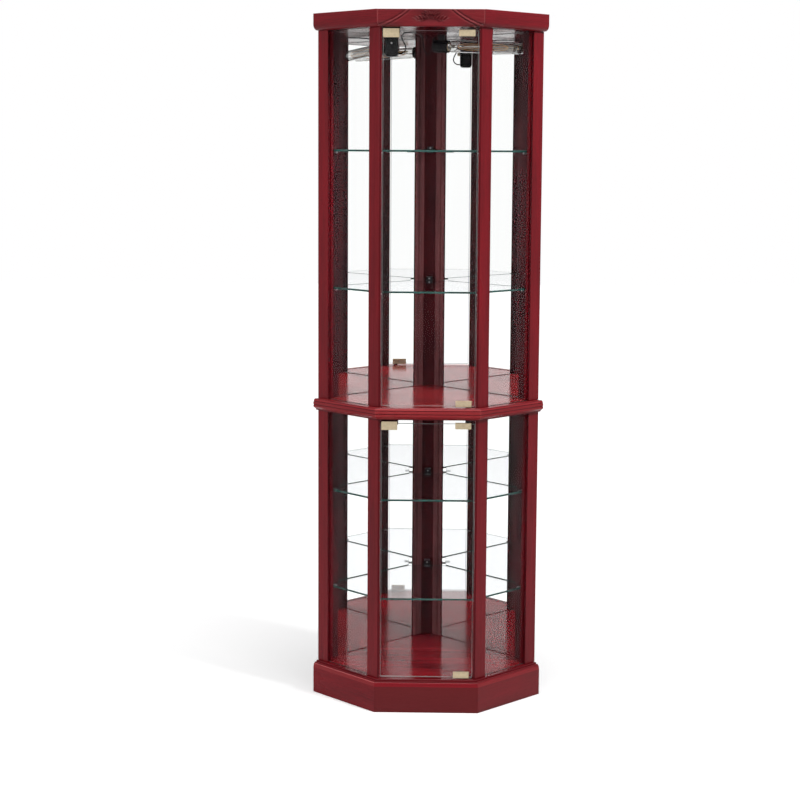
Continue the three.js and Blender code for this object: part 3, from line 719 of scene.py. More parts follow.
def moulded_run(node, outward, outline, bands):
    """The run of a CAD node, from mitre to mitre, with a finer outline."""
    rough = merged_copy(node)
    ends = sorted(rough.faces, key=lambda face: len(face.verts))[-2:]
    outer, inner = [], []
    for end in ends:
        reach = sorted(end.verts, key=lambda vert: vert.co.dot(outward))
        inner.append(reach[0].co.copy())
        outer.append(reach[-1].co.copy())
    low = min(vert.co.z for vert in rough.verts)
    depth = (outer[0] - inner[0]).dot(outward)
    rough.free()

    def at(end, inset, height):
        point = outer[end].lerp(inner[end], inset * MM / depth)
        point.z = low + height * MM
        return point

    bm = bmesh.new()
    start = bm.faces.new([bm.verts.new(at(0, *point)) for point in outline])
    swept = bmesh.ops.extrude_face_region(bm, geom=[start])["geom"]
    for vert in new_verts(swept):
        inset = (outer[0] - vert.co).dot(outward) / MM
        vert.co = at(1, inset, (vert.co.z - low) / MM)
    bmesh.ops.recalc_face_normals(bm, faces=bm.faces)
    mark_bands(bm, low, bands)
    mark_mitre(bm, outer[0], inner[0], outer[1])
    mark_mitre(bm, outer[1], inner[1], outer[0])
    return bm


def build_runs(stem, outline, bands, finishes):
    """The front, left and right moulding of one level. finishes gives each run's finishes."""
    for run, finish_names in finishes.items():
        node = f"{stem}_{run}"
        bm = moulded_run(node, OUTWARD[run], outline, bands)
        piece = new_piece(f"{node}_moulding", bm, finish_names, CABINET, (node,))
        soften(piece, bpy.context.scene.cabinet_wood.fine_arris, angle=25)


def build_panel(node, finish_name, round_over):
    # The panel's rounded edges take the darker groove finish as painted shade
    finishes = [finish_name, "groove cherry"]
    worked(node, "board", finishes, round_over, angle=30, segments=3,
           edge_finish=1)


# Corner of the left end post, in plan, and how deep behind it the painted shade of the inside
# begins
POST_SIDE_CORNER = (-291.6, 181.4)
LIP_DEPTH = 19
PIN_RADIUS = 2.5
PIN_SLACK = 0.1
CLEARANCE = 0.3
# Backward part of a unit normal from which on a front post's face counts as inside
INSIDE_FACING = 0.1
# A post's finishes: its face, its pins, painted shade inside the cabinet, and painted shade along
# its edges
POST_FINISHES = ["upright cherry", "steel", "inner cherry", "edge cherry"]


def shelf_nodes(tier):
    return [f"{tier}_shelf_1", f"{tier}_shelf_2"]


def post_chooser(tier, post, side):
    """Tells a post's shelf pins, 1, its faces inside the cabinet, darkened as painted shade, 2,
    and its edge at the door or at the side pane, darkened as painted shade, 3, from the rest, 0."""
    under = (CLEARANCE + PIN_RADIUS) * MM
    heights = [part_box(node)[0].z - under for node in shelf_nodes(tier)]
    reach = (PIN_RADIUS + PIN_SLACK) * MM
    inwards = -OUTWARD[side]
    edgewise = Vector((-SIDES[side], -1, 0)).normalized()
    corner_x, corner_y = POST_SIDE_CORNER
    front = place(corner_x * -SIDES[side], corner_y, 0).dot(inwards)

    def choose(face):
        if any(all(abs(v.co.z - height) < reach for v in face.verts) for height in heights):
            return 1
        if post == "front_post":
            if face.normal.y < -FACING:
                return 3
            return 2 if face.normal.y > INSIDE_FACING else 0
        if face.calc_center_median().dot(inwards) - front > LIP_DEPTH * MM:
            return 2
        return 3 if face.normal.dot(edgewise) > FACING else 0

    return choose


# Post in the room corner: points in millimetres on its right-hand half, from the middle of the
# hollow to the back
CORNER_OUTLINE = [
    (0, 448.1), (4.1, 447.9), (8.2, 447.1), (12.4, 445.7), (15.6, 444.0), (16.2, 442.2),
    (17.4, 441.9), (22.4, 437.0), (27.6, 431.8), (28.1, 432.9), (29.6, 432.7), (30.4, 429.6),
    (31.0, 428.5), (39.2, 420.3), (39.9, 420.4), (40.7, 421.9), (39.4, 423.3), (42.6, 426.5),
    (47.6, 421.6), (49.5, 423.5), (0, 473),
]
# Where the ribs begin and end, away from the middle, and the y that the unit normals of their
# faces stay under
RIB_START = 16.5
RIB_END = 39.4
RIB_FACING = -0.6


def on_rib(face):
    """1 for the faces of the corner post's ribs that look into the cabinet, else 0. These are
    lightened as painted light.
    """
    away = abs(face.calc_center_median().x)
    inside = RIB_START * MM < away < RIB_END * MM
    return int(face.normal.y < RIB_FACING and inside and len(face.verts) == 4)


def build_corner_post(tier):
    node = f"{tier}_corner_post"
    low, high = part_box(node)
    bm = bmesh.new()
    half = [bm.verts.new(place(x, y, low.z / MM)) for x, y in CORNER_OUTLINE]
    edges = [bm.edges.new(pair) for pair in zip(half, half[1:])]
    copy = bmesh.ops.duplicate(bm, geom=half + edges)["geom"]
    bmesh.ops.scale(bm, vec=(-1, 1, 1), verts=new_verts(copy))
    bmesh.ops.remove_doubles(bm, verts=bm.verts, dist=MERGE_DISTANCE)
    foot = bmesh.ops.contextual_create(bm, geom=bm.edges[:])["faces"]
    swept = bmesh.ops.extrude_face_region(bm, geom=foot)["geom"]
    bmesh.ops.translate(bm, verts=new_verts(swept), vec=(0, 0, high.z - low.z))
    bmesh.ops.recalc_face_normals(bm, faces=bm.faces)
    for face in bm.faces:
        face.material_index = on_rib(face)
    # The hollow is darkened as painted shade, and the ribs that look into the cabinet are
    # lightened as painted light
    finishes = ["corner cherry", "rib cherry"]
    piece = new_piece(f"{node}_wood", bm, finishes, CABINET, (node,))
    soften(piece, bpy.context.scene.cabinet_wood.fine_arris, angle=25)


def build_posts():
    wood = bpy.context.scene.cabinet_wood
    for tier in TIERS:
        for side in SIDES:
            for post in ("front_post", "end_post"):
                choose = post_chooser(tier, post, side)
                worked(f"{tier}_{post}_{side}", "wood", POST_FINISHES, wood.arris,
                       choose)
        build_corner_post(tier)


# Front board of the crown, in millimetres. Depths are measured inwards from its face.
BOARD_HALF = 134.85
BOARD_TOP = 1799.9
BOARD_FOOT = 1757.0
BOARD_BACK = 17.2
BOARD_GRID = (420, 84)
MITRE_SHARE = math.tan(math.radians(22.5))
# Arc on each half of the board, past which its face is sunk. Grooves run along it, as
# (distance past the arc, width, depth), and so do pale lines of painted highlight, as (distance,
# width, strength).
ARCH_CENTRE = (188.4, 1952.4)
ARCH_RADIUS = 207.0
ARCH_STEP = 1.4
ARCH_SLOPE = (1.0, 9.0)
ARCH_GROOVES = [(1.5, 1.4, 2.8), (9.0, 1.3, 2.0)]
ARCH_GLINTS = [(5.0, 1.6, 0.12), (-2.4, 1.2, 0.06)]
# Painted shade in the arc's grooves, darker on the right half than on the left
GROOVE_SHADE = {"left": 0.18, "right": 0.28}
# Oval ground of the spray: its centre's height, its half width and half height, and its depth
GROUND_HEIGHT = 1783.0
GROUND_SIZE = (64.0, 24.0)
GROUND_DEPTH = 3.2
GROUND_SLOPE = 0.7
SPRAY_REACH = 62
# Rounded foot of the board, which fades out towards its middle between two distances from it
FOOT_HEIGHT = 15.0
FOOT_DEPTH = 14.0
FOOT_FADE = (55.0, 122.0)
EDGE_RADIUS = 1.2
# Pale lines of painted highlight over the foot and at the board's ends as (distance from the
# edge, width, strength)
FOOT_GLINT = (2.5, 1.6, 0.05)
END_GLINT = (1.35, 1.2, 0.16)
# How much painted shade darkens the ground and around the leaves, and how much painted
# highlight lightens the leaves' rims
GROUND_SHADE = 0.3
LEAF_SHADE = 0.6
RIM_GLINT = 0.6
# Highest values of the board's attributes
MOST_RECESS = 0.9
MOST_GLINT = 0.6
# Shape of a leaf: where along it and how fully it swells, its sloping side, and its hollow and
# rim as (share of the half width, width), all in shares of the leaf. The rim, on one side of the
# leaf only, carries a painted highlight
LEAF_SWELL = 0.75
LEAF_FULLNESS = 0.7
LEAF_SIDE = 0.25
LEAF_HOLLOW = (0.35, 0.25)
LEAF_HOLLOW_DEPTH = 0.8
LEAF_RIM = (0.75, 0.16)
# Leaf height around which painted shade darkens the ground at a leaf's foot, as (height, width)
LEAF_FOOT = (0.12, 0.14)
# Leaves of the carved spray on its right-hand half as (root, tip, half width), measured from
# the middle of the board
SPRAY = [
    ((0.0, 1786.0), (0.0, 1799.0), 3.0), ((2.5, 1786.0), (8.5, 1798.5), 2.7),
    ((5.5, 1785.5), (16.5, 1796.5), 2.6), ((8.0, 1784.5), (23.0, 1792.0), 2.3),
    ((3.0, 1777.5), (0.0, 1787.0), 2.6), ((6.0, 1776.0), (13.5, 1784.0), 2.7),
    ((13.0, 1774.5), (22.0, 1783.5), 2.9), ((21.0, 1773.5), (31.0, 1784.5), 3.2),
    ((29.0, 1772.5), (40.5, 1783.0), 3.3), ((36.0, 1770.5), (47.5, 1778.5), 3.2),
    ((15.0, 1773.0), (28.0, 1769.0), 2.2), ((28.0, 1770.5), (42.0, 1766.5), 2.4),
    ((41.0, 1769.0), (54.0, 1769.5), 2.6),
]


def smooth_step(value, low, high):
    share = min(1.0, max(0.0, (value - low) / (high - low)))
    return share * share * (3 - 2 * share)


def ridge(value, width):
    """1 at zero, falling to nothing over about twice the width."""
    return math.exp(-((value / width) ** 2))


def line(value, shape):
    """A ridge from its place and its width."""
    middle, width = shape
    return ridge(value - middle, width)


def leaf(x, z, root, tip, width):
    """Height of a hollowed leaf at a point, from 0 to 1, and how near the point is to its
    raised rim on one side, which carries a painted highlight."""
    ax, az = tip[0] - root[0], tip[1] - root[1]
    length = math.hypot(ax, az)
    along = ((x - root[0]) * ax + (z - root[1]) * az) / length**2
    if not 0 < along < 1:
        return 0.0, 0.0
    across = ((x - root[0]) * az - (z - root[1]) * ax) / length
    half = width * math.sin(math.pi * along**LEAF_SWELL) ** LEAF_FULLNESS
    share = abs(across) / max(half, 0.01)
    if share >= 1:
        return 0.0, 0.0
    rise = smooth_step(1 - share, 0.0, LEAF_SIDE)
    hollow = LEAF_HOLLOW_DEPTH * line(share, LEAF_HOLLOW)
    rim = line(share, LEAF_RIM) if across < 0 else 0.0
    return rise * (1 - hollow), rim


def board_relief(x, z):
    """The crown's front face at a point: its depth below the flat in millimetres, its recess,
    which is painted shade, and its painted highlight."""
    groove_shade = GROOVE_SHADE["right" if x > 0 else "left"]
    x = abs(x)
    past = ARCH_RADIUS - math.hypot(x - ARCH_CENTRE[0], z - ARCH_CENTRE[1])
    depth = ARCH_STEP * smooth_step(past, *ARCH_SLOPE)
    grooves = sum(deep * ridge(past - away, width) for away, width, deep in ARCH_GROOVES)
    half_width, half_height = GROUND_SIZE
    from_centre = math.hypot(x / half_width, (z - GROUND_HEIGHT) / half_height)
    ground = smooth_step(1 - from_centre, 0.0, GROUND_SLOPE)
    leaves = [leaf(x, z, *shape) for shape in SPRAY] if x < SPRAY_REACH else []
    height = max([high for high, _ in leaves], default=0.0)
    rim = max([near for _, near in leaves], default=0.0)
    depth += grooves + GROUND_DEPTH * ground * (1 - height)
    near_leaf = max([line(high, LEAF_FOOT) for high, _ in leaves if high > 0], default=0.0)
    recess = GROUND_SHADE * ground * (1 - height) + LEAF_SHADE * near_leaf * ground
    recess += groove_shade * grooves
    worn = RIM_GLINT * rim * ground
    worn += sum(glint * ridge(past - away, width) for away, width, glint in ARCH_GLINTS)
    foot = BOARD_FOOT + FOOT_HEIGHT - z
    if foot > 0:
        share = smooth_step(x, *FOOT_FADE)
        round_in = 1 - math.sqrt(max(0.0, 1 - (foot / FOOT_HEIGHT) ** 2))
        depth += FOOT_DEPTH * round_in * share
        away, width, glint = FOOT_GLINT
        worn += glint * share * ridge(foot - away, width)
    for distance in (BOARD_TOP - z, z - BOARD_FOOT):
        if distance < EDGE_RADIUS:
            flat = max(0.0, EDGE_RADIUS**2 - (EDGE_RADIUS - distance) ** 2)
            depth += EDGE_RADIUS - math.sqrt(flat)
    away, width, glint = END_GLINT
    worn += glint * ridge(x - (BOARD_HALF - away), width)
    return min(depth, BOARD_BACK - 2), min(recess, MOST_RECESS), min(worn, MOST_GLINT)


def build_crown_front():
    bm = bmesh.new()
    across, upright = BOARD_GRID
    bmesh.ops.create_grid(bm, x_segments=across, y_segments=upright, size=0.5)
    # The layer recess holds painted shade, and the next one painted highlights
    recess_layer = bm.verts.layers.float.new("recess")
    glint_layer = bm.verts.layers.float.new("worn")
    for vert in bm.verts:
        x = vert.co.x * 2 * BOARD_HALF
        z = BOARD_FOOT + (vert.co.y + 0.5) * (BOARD_TOP - BOARD_FOOT)
        depth, vert[recess_layer], vert[glint_layer] = board_relief(x, z)
        vert.co = place(x * (1 - MITRE_SHARE * depth / BOARD_HALF), depth, z)
    rim = [edge for edge in bm.edges if edge.is_boundary]
    walls = bmesh.ops.extrude_edge_only(bm, edges=rim)["geom"]
    for vert in new_verts(walls):
        depth = vert.co.y / MM - CAD_LOW.y / MM
        widest = BOARD_HALF - MITRE_SHARE * depth
        vert.co.x *= (BOARD_HALF - MITRE_SHARE * BOARD_BACK) / widest
        vert.co.y = CAD_LOW.y + BOARD_BACK * MM
    back = [edge for edge in bm.edges if edge.is_boundary]
    bmesh.ops.edgeloop_fill(bm, edges=back)
    bmesh.ops.recalc_face_normals(bm, faces=bm.faces)
    piece = new_piece("crown_front_carved_board", bm, ["carved cherry"], CABINET,
                      ("crown_front",))
    keep_sharp(piece, 55)


# ---- Glass ----


def clear_sheet(pane, rim, arris):
    """Pane of clear glass with edges of another finish."""
    worked(pane, "pane", ["clear glass", rim], arris, main_faces(pane),
           edge_finish=1)


def build_mirror(mirror, arris):
    edge = main_faces(mirror)

    def silver_or_paint(face):
        return 0 if edge(face) == 0 and face.normal.y < 0 else 1

    finishes = ["silver", "backing paint", "dark rim"]
    worked(mirror, "sheet", finishes, arris, silver_or_paint, segments=1,
           edge_finish=2)


def build_panes():
    glass = bpy.context.scene.cabinet_glass
    for tier in TIERS:
        for side in SIDES:
            clear_sheet(f"{tier}_side_glass_{side}", "dark rim", glass.arris)
            build_mirror(f"{tier}_mirror_{side}", glass.mirror_arris)


# Clip of a shelf: its block's half width and depth, how far it reaches into the post's
# hollow, its tongue's thickness and gap to the shelf, and its screw below its top
CLIP_HALF = 8.5
CLIP_DEPTH = 20.0
HOLLOW_OVERLAP = 2.5
TONGUE = 2.4
TONGUE_OVERLAP = 1
SHELF_GAP = 0.1
CLIP_SCREW_DROP = 4.5
CLIP_SCREW_RADIUS = 2.2


def build_clip(shelf):
    """Support on the corner post: a block in its hollow, and a thin tongue under the shelf's
    back corner."""
    node = f"{shelf}_clip"
    low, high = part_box(node)
    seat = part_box(shelf)[0].z
    front = high.y - CLIP_DEPTH * MM
    half = CLIP_HALF * MM
    hollow = high.y + HOLLOW_OVERLAP * MM
    body = block(Vector((-half, front, low.z)), Vector((half, hollow, high.z)))
    tongue_low = Vector((-half, low.y, seat - TONGUE * MM))
    tongue_high = Vector((half, front + TONGUE_OVERLAP * MM, seat - SHELF_GAP * MM))
    pieces = merged_meshes([body, block(tongue_low, tongue_high)])
    piece = new_piece(f"{node}_support", pieces, ["black steel"], CABINET, (node,))
    soften(piece, bpy.context.scene.cabinet_fittings.arris)
    centre = (0, front + SHELF_GAP * MM, high.z - CLIP_SCREW_DROP * MM)
    screws(f"{node}_screw", [centre], FORWARDS, CLIP_SCREW_RADIUS)


def build_shelves():
    glass = bpy.context.scene.cabinet_glass
    for tier in TIERS:
        for node in shelf_nodes(tier):
            worked(node, "sheet", ["shelf glass", "shelf rim"], glass.arris,
                   main_faces(node))
            build_clip(node)


# ---- Doors and latches ----

HINGE_SCREW_RADIUS = 1.9
HINGE_SCREW_HEIGHT = 7
HINGE_SCREW_PLACES = (9, 20)
LATCH_ARRIS = 0.0012
LATCH_SCREW_RADIUS = 3.0
LATCH_SCREW_DEPTH = 30
LATCH_SCREW_INSET = 9
PLUNGER_STEPS = 28
# Nose of a plunger and the groove behind it, as (distance from its tip, how much less than its
# full radius)
PLUNGER_NOSE = [
    (0, 1.8), (0.3, 1.0), (1.0, 0.3), (2.0, 0), (6.5, 0), (6.9, 0.5), (7.6, 0.5), (8.0, 0),
]


def build_door(tier):
    arris = bpy.context.scene.cabinet_fittings.arris
    pane = f"{tier}_door_glass"
    clear_sheet(pane, "door rim", bpy.context.scene.cabinet_glass.door_arris)
    worked(f"{tier}_door_strike", "plate", ["brass"], arris)
    for end in ("top", "bottom"):
        hinge = f"{tier}_door_{end}_hinge"
        worked(f"{hinge}_clip", "plate", ["brass"], arris)
        low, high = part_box(f"{hinge}_clip")
        inset = HINGE_SCREW_HEIGHT * MM
        height = high.z - inset if end == "bottom" else low.z + inset
        centres = [(low.x + away * MM, high.y, height) for away in HINGE_SCREW_PLACES]
        screws(f"{hinge}_screws", centres, BACKWARDS, HINGE_SCREW_RADIUS, BODY_OF[pane])
        worked(f"{hinge}_bush", "ring", ["black plastic"], arris, angle=30)


def build_latch(tier):
    node = f"{tier}_latch_body"
    worked(node, "case", ["black plastic"], LATCH_ARRIS, angle=50, segments=3)
    low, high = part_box(node)
    inset = LATCH_SCREW_INSET * MM
    centres = [(x, low.y + LATCH_SCREW_DEPTH * MM, low.z) for x in (low.x + inset, high.x - inset)]
    screws(f"{tier}_latch_screws", centres, DOWNWARDS, LATCH_SCREW_RADIUS)
    build_plunger(f"{tier}_latch_plunger")


def build_plunger(rod):
    """Round rod with a rounded nose and one groove behind it."""
    low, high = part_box(rod)
    radius = (high.x - low.x) / 2 / MM
    length = (high.y - low.y) / MM
    start = Vector(((low.x + high.x) / 2, low.y, (low.z + high.z) / 2))
    nose = [(along, radius - less) for along, less in PLUNGER_NOSE]
    profile = [(0, 0), *nose, (length, radius), (length, 0)]
    plunger = spun(profile, start, BACKWARDS, PLUNGER_STEPS)
    piece = new_piece(f"{rod}_rod", plunger, ["black plastic"], BODY_OF[rod],
                      (rod,))
    keep_sharp(piece, 35)


# ---- Lamp and wiring ----

# Closed end of the lamp's holder, the turn of its axis in plan, and how far it hangs down
LAMP_START = (8.53, 324.47, 1727.0)
LAMP_TURN = math.radians(-25)
LAMP_DROOP = math.radians(2.2)
HOLDER_RADIUS = 17.0
HOLDER_LENGTH = 43.0
HOLDER_FLOOR = 15.0
# Outline of the holder's back, of each of its grooves and of its front, as (distance along it
# from its back, from the groove's start or from its front, how much less than its full radius)
HOLDER_BACK = [(0, 3), (0.9, 1.1), (3, 0)]
HOLDER_GROOVE = [(0, 0), (0.5, 0.9), (1.9, 0.9), (2.4, 0)]
HOLDER_GROOVES = (8.0, 13.5, 19.0, 24.5, 30.0)
HOLDER_FRONT = [(-6, 0), (-5, 0.6), (-0.5, 0.6), (0, 1.2)]
STEM_LOW = Vector((12.5, -6.5, 14.0))
STEM_HIGH = Vector((30.5, 6.5, 29.7))
STEM_ARRIS = 0.0015
CAP_RADIUS = 13.0
CAP_STEPS = 32
# Bulb's cap: how far its thread stays from both ends, its tapered foot, and its rim
THREAD_DEPTH = 0.8
THREAD_PITCH = 3
THREAD_INSET = 4
CAP_TAPER = (3, 4)
CAP_RIM = 0.2
BULB_RADIUS = 15.4
BULB_TIP = 238.0
BULB_STEPS = 48
TIP_STEPS = 10
# Bulb's neck as (distance beyond the holder, how much wider than the cap), and the places of
# its straight rings
BULB_NECK = [(0.3, 0), (3, 0.5)]
BULB_SHOULDER = 10
BULB_RINGS = (80.0, 120.0, 160.0, 200.0)
# Glass stem inside the bulb as (distance beyond the holder, radius)
INNER_STEM = [
    (0.4, 0), (0.4, 8.0), (4, 5.0), (18, 3.2), (32, 2.4), (34, 3.4), (36, 2.4), (120, 1.1),
    (160, 1.1), (161, 0),
]
STEM_STEPS = 20
# Filament strands as (distance, away from the axis): out from their near end, zigzag along
# the stem, and in to their far end
FILAMENT_NEAR = HOLDER_LENGTH + 26
FILAMENT_FAR = HOLDER_LENGTH + 170
STRAND_OUT = [(0, 2.2), (9, 6.5), (16, 8.0)]
STRAND_ZIGZAG = [(30 + 20 * i, 8.3 + 0.5 * (-1) ** i) for i in range(5)]
STRAND_IN = [(-12, 8.0), (-4, 4.5), (0, 1.0)]
STRAND_RADIUS = 0.62
STRANDS = 4
STRAND_TURN = 0.4
SUPPORT_PLACES = (14, 120)
SUPPORT_RADIUS = 7.2
SUPPORT_WIRE = 0.25
SUPPORT_POINTS = 12


def lamp_upright():
    return Matrix.Translation(place(*LAMP_START)) @ Matrix.Rotation(LAMP_TURN, 4, "Z")


def lamp_frame():
    """Matrix from the lamp's own metres, with its axis along x, to the frame."""
    return lamp_upright() @ Matrix.Rotation(LAMP_DROOP, 4, "Y")


def lamp_spun(profile, steps=40):
    bm = spun(profile, Vector(), Vector((1, 0, 0)), steps)
    bmesh.ops.transform(bm, matrix=lamp_frame(), verts=bm.verts)
    return bm


def build_holder():
    outlines = [(0, HOLDER_BACK), *((start, HOLDER_GROOVE) for start in HOLDER_GROOVES),
                (HOLDER_LENGTH, HOLDER_FRONT)]
    outside = [(start + along, HOLDER_RADIUS - less)
               for start, outline in outlines for along, less in outline]
    mouth = CAP_RADIUS + CLEARANCE
    profile = [(0, 0), *outside, (HOLDER_LENGTH, mouth), (HOLDER_FLOOR, mouth), (HOLDER_FLOOR, 0)]
    replaced = ("lamp_holder",)
    barrel = new_piece("lamp_holder_barrel", lamp_spun(profile), ["black rubber"],
                       CABINET, replaced)
    keep_sharp(barrel, 30)
    bm = block(STEM_LOW * MM, STEM_HIGH * MM)
    bmesh.ops.transform(bm, matrix=lamp_upright(), verts=bm.verts)
    stem = new_piece("lamp_holder_stem", bm, ["black plastic"], CABINET,
                     replaced)
    soften(stem, STEM_ARRIS, segments=3)


def bulb_outline(shrink):
    """Outside of the bulb's glass, or its inside when shrunk, as (along, radius) points."""
    radius = BULB_RADIUS - shrink
    tip = BULB_TIP - shrink
    points = [(HOLDER_LENGTH + along, CAP_RADIUS + wider - shrink) for along, wider in BULB_NECK]
    points += [(along, radius) for along in (HOLDER_LENGTH + BULB_SHOULDER, *BULB_RINGS)]
    for step in range(TIP_STEPS):
        angle = step / TIP_STEPS * math.pi / 2
        points.append((tip - radius * (1 - math.sin(angle)), radius * math.cos(angle)))
    return points + [(tip, 0.0)]


def build_bulb():
    replaced = ("lamp_bulb",)
    outside = bulb_outline(0.0)
    inside = bulb_outline(bpy.context.scene.cabinet_lamp.wall / MM)
    shell = lamp_spun(outside + inside[::-1] + [outside[0]], BULB_STEPS)
    piece = new_piece("lamp_bulb_glass", shell, ["bulb glass"], CABINET, replaced)
    keep_sharp(piece, 60)
    start, end = HOLDER_FLOOR + CLEARANCE, HOLDER_LENGTH + CAP_RIM
    root = CAP_RADIUS - THREAD_DEPTH
    ridges = []
    along = start + THREAD_INSET
    while along < HOLDER_LENGTH - THREAD_INSET:
        ridges += [(along, root), (along + THREAD_PITCH / 2, CAP_RADIUS)]
        along += THREAD_PITCH
    taper_length, taper = CAP_TAPER
    cap = lamp_spun([
        (start, 0), (start, CAP_RADIUS - taper), (start + taper_length, root), *ridges,
        (HOLDER_LENGTH, CAP_RADIUS), (end, CAP_RADIUS), (end, 0),
    ], CAP_STEPS)
    new_piece("lamp_bulb_cap", cap, ["brass"], CABINET, replaced)
    build_filament()


def build_filament():
    matrix = lamp_frame()
    outline = [(HOLDER_LENGTH + beyond, radius) for beyond, radius in INNER_STEM]
    stem = lamp_spun(outline, STEM_STEPS)
    new_piece("lamp_bulb_inner_stem", stem, ["bulb glass"])
    route = [(FILAMENT_NEAR + along, away) for along, away in STRAND_OUT + STRAND_ZIGZAG]
    route += [(FILAMENT_FAR + along, away) for along, away in STRAND_IN]
    wires = []
    for number in range(STRANDS):
        angle = number * math.pi / 2 + STRAND_TURN
        out = Vector((0, math.cos(angle), math.sin(angle)))
        points = [matrix @ ((Vector((along, 0, 0)) + out * away) * MM) for along, away in route]
        wires.append(tube("filament", points, STRAND_RADIUS * MM))
    new_piece("lamp_bulb_filament", merged_meshes(wires), ["filament"])
    angles = [i * math.pi / 6 for i in range(SUPPORT_POINTS)]
    supports = []
    for beyond in SUPPORT_PLACES:
        along = FILAMENT_NEAR + beyond
        circle = [Vector((along, SUPPORT_RADIUS * math.cos(angle),
                          SUPPORT_RADIUS * math.sin(angle))) for angle in angles]
        ring = [matrix @ (point * MM) for point in circle]
        supports.append(tube("support", ring, SUPPORT_WIRE * MM, closed=True))
    new_piece("lamp_bulb_supports", merged_meshes(supports), ["steel"])


# Wire from the wiring box to the lamp's stem as (x, y, drop below the ceiling)
WIRE_ROUTE = [
    (-83.7, 168, 58), (-76, 168, 58.3), (-68, 168, 54), (-64, 168, 45.5), (-66, 168, 35.5),
    (-72, 168, 26), (-76, 169, 17), (-74, 172, 8.5), (-66, 178, 3.2), (-52, 190, 2.4),
    (-44, 215, 2.4), (-36, 247, 2.4), (-30, 276, 2.6), (-25.5, 297, 4.5), (-22.5, 311, 11.5),
    (-21, 319.5, 24), (-19.5, 319.5, 36), (-14.5, 318.5, 48), (-9, 316.5, 53.5), (-3.5, 313, 50),
    (1, 308, 42), (3.5, 304, 31), (5.1, 304.5, 20.5), (6.3, 310.5, 12.4), (8.5, 317.1, 8.8),
    (11.7, 320.5, 7.8), (15.3, 320.2, 7.8), (19.1, 318.4, 7.8),
]
WIRE_RADIUS = 1.6
BOX_ARRIS = 0.001
BOX_SCREW_DROPS = (14, 32)
BOX_SCREW_RADIUS = 2.4


def build_wiring():
    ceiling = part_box("ceiling_panel")[0].z / MM
    points = [place(x, y, ceiling - drop) for x, y, drop in WIRE_ROUTE]
    wire = tube("wire", points, WIRE_RADIUS * MM)
    new_piece("lamp_wire_flex", wire, ["black rubber"], CABINET, ("lamp_wire",))
    box = "wiring_box"
    worked(box, "case", ["black plastic"], BOX_ARRIS, angle=50, segments=3)
    low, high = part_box(box)
    middle = (low.x + high.x) / 2
    centres = [(middle, low.y, high.z - drop * MM) for drop in BOX_SCREW_DROPS]
    screws("wiring_box_screws", centres, FORWARDS, BOX_SCREW_RADIUS)


# ---- Stage ----

CAMERA_PLACE = (8.17, -4370.84, 1459.25)
CAMERA_SHIFT = -0.05
CAMERA_CLIP = (0.1, 60)
SENSOR_WIDTH = 36
FLOOR_HALF = 14
# Part of the floor that is lit most, and how its own glow grows from there, in metres
LIT_MIDDLE = (0, -1.2, 0)
GLOW_NEAR, GLOW_FAR = 0.5, 5.5
GLOW_LEAST = 0.22
ROOM_LIGHT = 0.2
LAMP_AIM = (0, 0, 1.0)
# Studio lamps as (name, place, size, watts)
STUDIO_LAMPS = [
    ("key", (2.27, -1.81, 3.44), (0.6, 0.6), 118),
    ("fill", (-2.6, -2.4, 2.2), (1.2, 1.6), 64),
    ("top", (0.0, -0.6, 4.2), (1.6, 1.6), 110),
]
# Light goes through up to a dozen glass faces and two mirrors. Normals are left out of the
# denoising, because behind several panes they are noisy and would leave a worm-like grain.
LIGHT_PATHS = {
    "max_bounces": 32,
    "diffuse_bounces": 5,
    "glossy_bounces": 12,
    "transmission_bounces": 28,
    "transparent_max_bounces": 32,
    "caustics_reflective": True,
    "caustics_refractive": True,
    "blur_glossy": 0.6,
    "sample_clamp_indirect": 2.0,
    "denoising_input_passes": "RGB_ALBEDO",
}


def build_camera():
    stage = bpy.context.scene.cabinet_stage
    data = bpy.data.cameras.new("camera")
    data.sensor_width = SENSOR_WIDTH
    data.lens = stage.lens
    data.shift_y = CAMERA_SHIFT
    data.clip_start, data.clip_end = CAMERA_CLIP
    camera = bpy.data.objects.new("camera", data)
    turn = (Matrix.Rotation(stage.heading, 4, "Z")
            @ Matrix.Rotation(math.pi / 2 - stage.dip, 4, "X")
            @ Matrix.Rotation(stage.tilt, 4, "Z"))
    camera.matrix_world = Matrix.Translation(place(*CAMERA_PLACE)) @ turn
    bpy.context.scene.collection.objects.link(camera)
    bpy.context.scene.camera = camera


def seen_directly(tree):
    """1 for camera rays and for those that metal, lacquer and glass send on, else 0."""
    path = put(tree, "LightPath").outputs
    pair = {0: path["Is Camera Ray"], 1: path["Is Glossy Ray"]}
    first = put(tree, "Math", pair, operation="MAXIMUM").outputs[0]
    pair = {0: first, 1: path["Is Transmission Ray"]}
    return put(tree, "Math", pair, operation="MAXIMUM").outputs[0]


def build_room():
    world = bpy.data.worlds.new("studio")
    world.use_nodes = True
    tree = world.node_tree
    tree.nodes.clear()
    strength = remap(tree, seen_directly(tree), 0, 1, ROOM_LIGHT, 1.0)
    background = put(tree, "Background", {"Color": (1, 1, 1, 1), "Strength": strength})
    put(tree, "OutputWorld", {"Surface": background.outputs[0]})
    bpy.context.scene.world = world


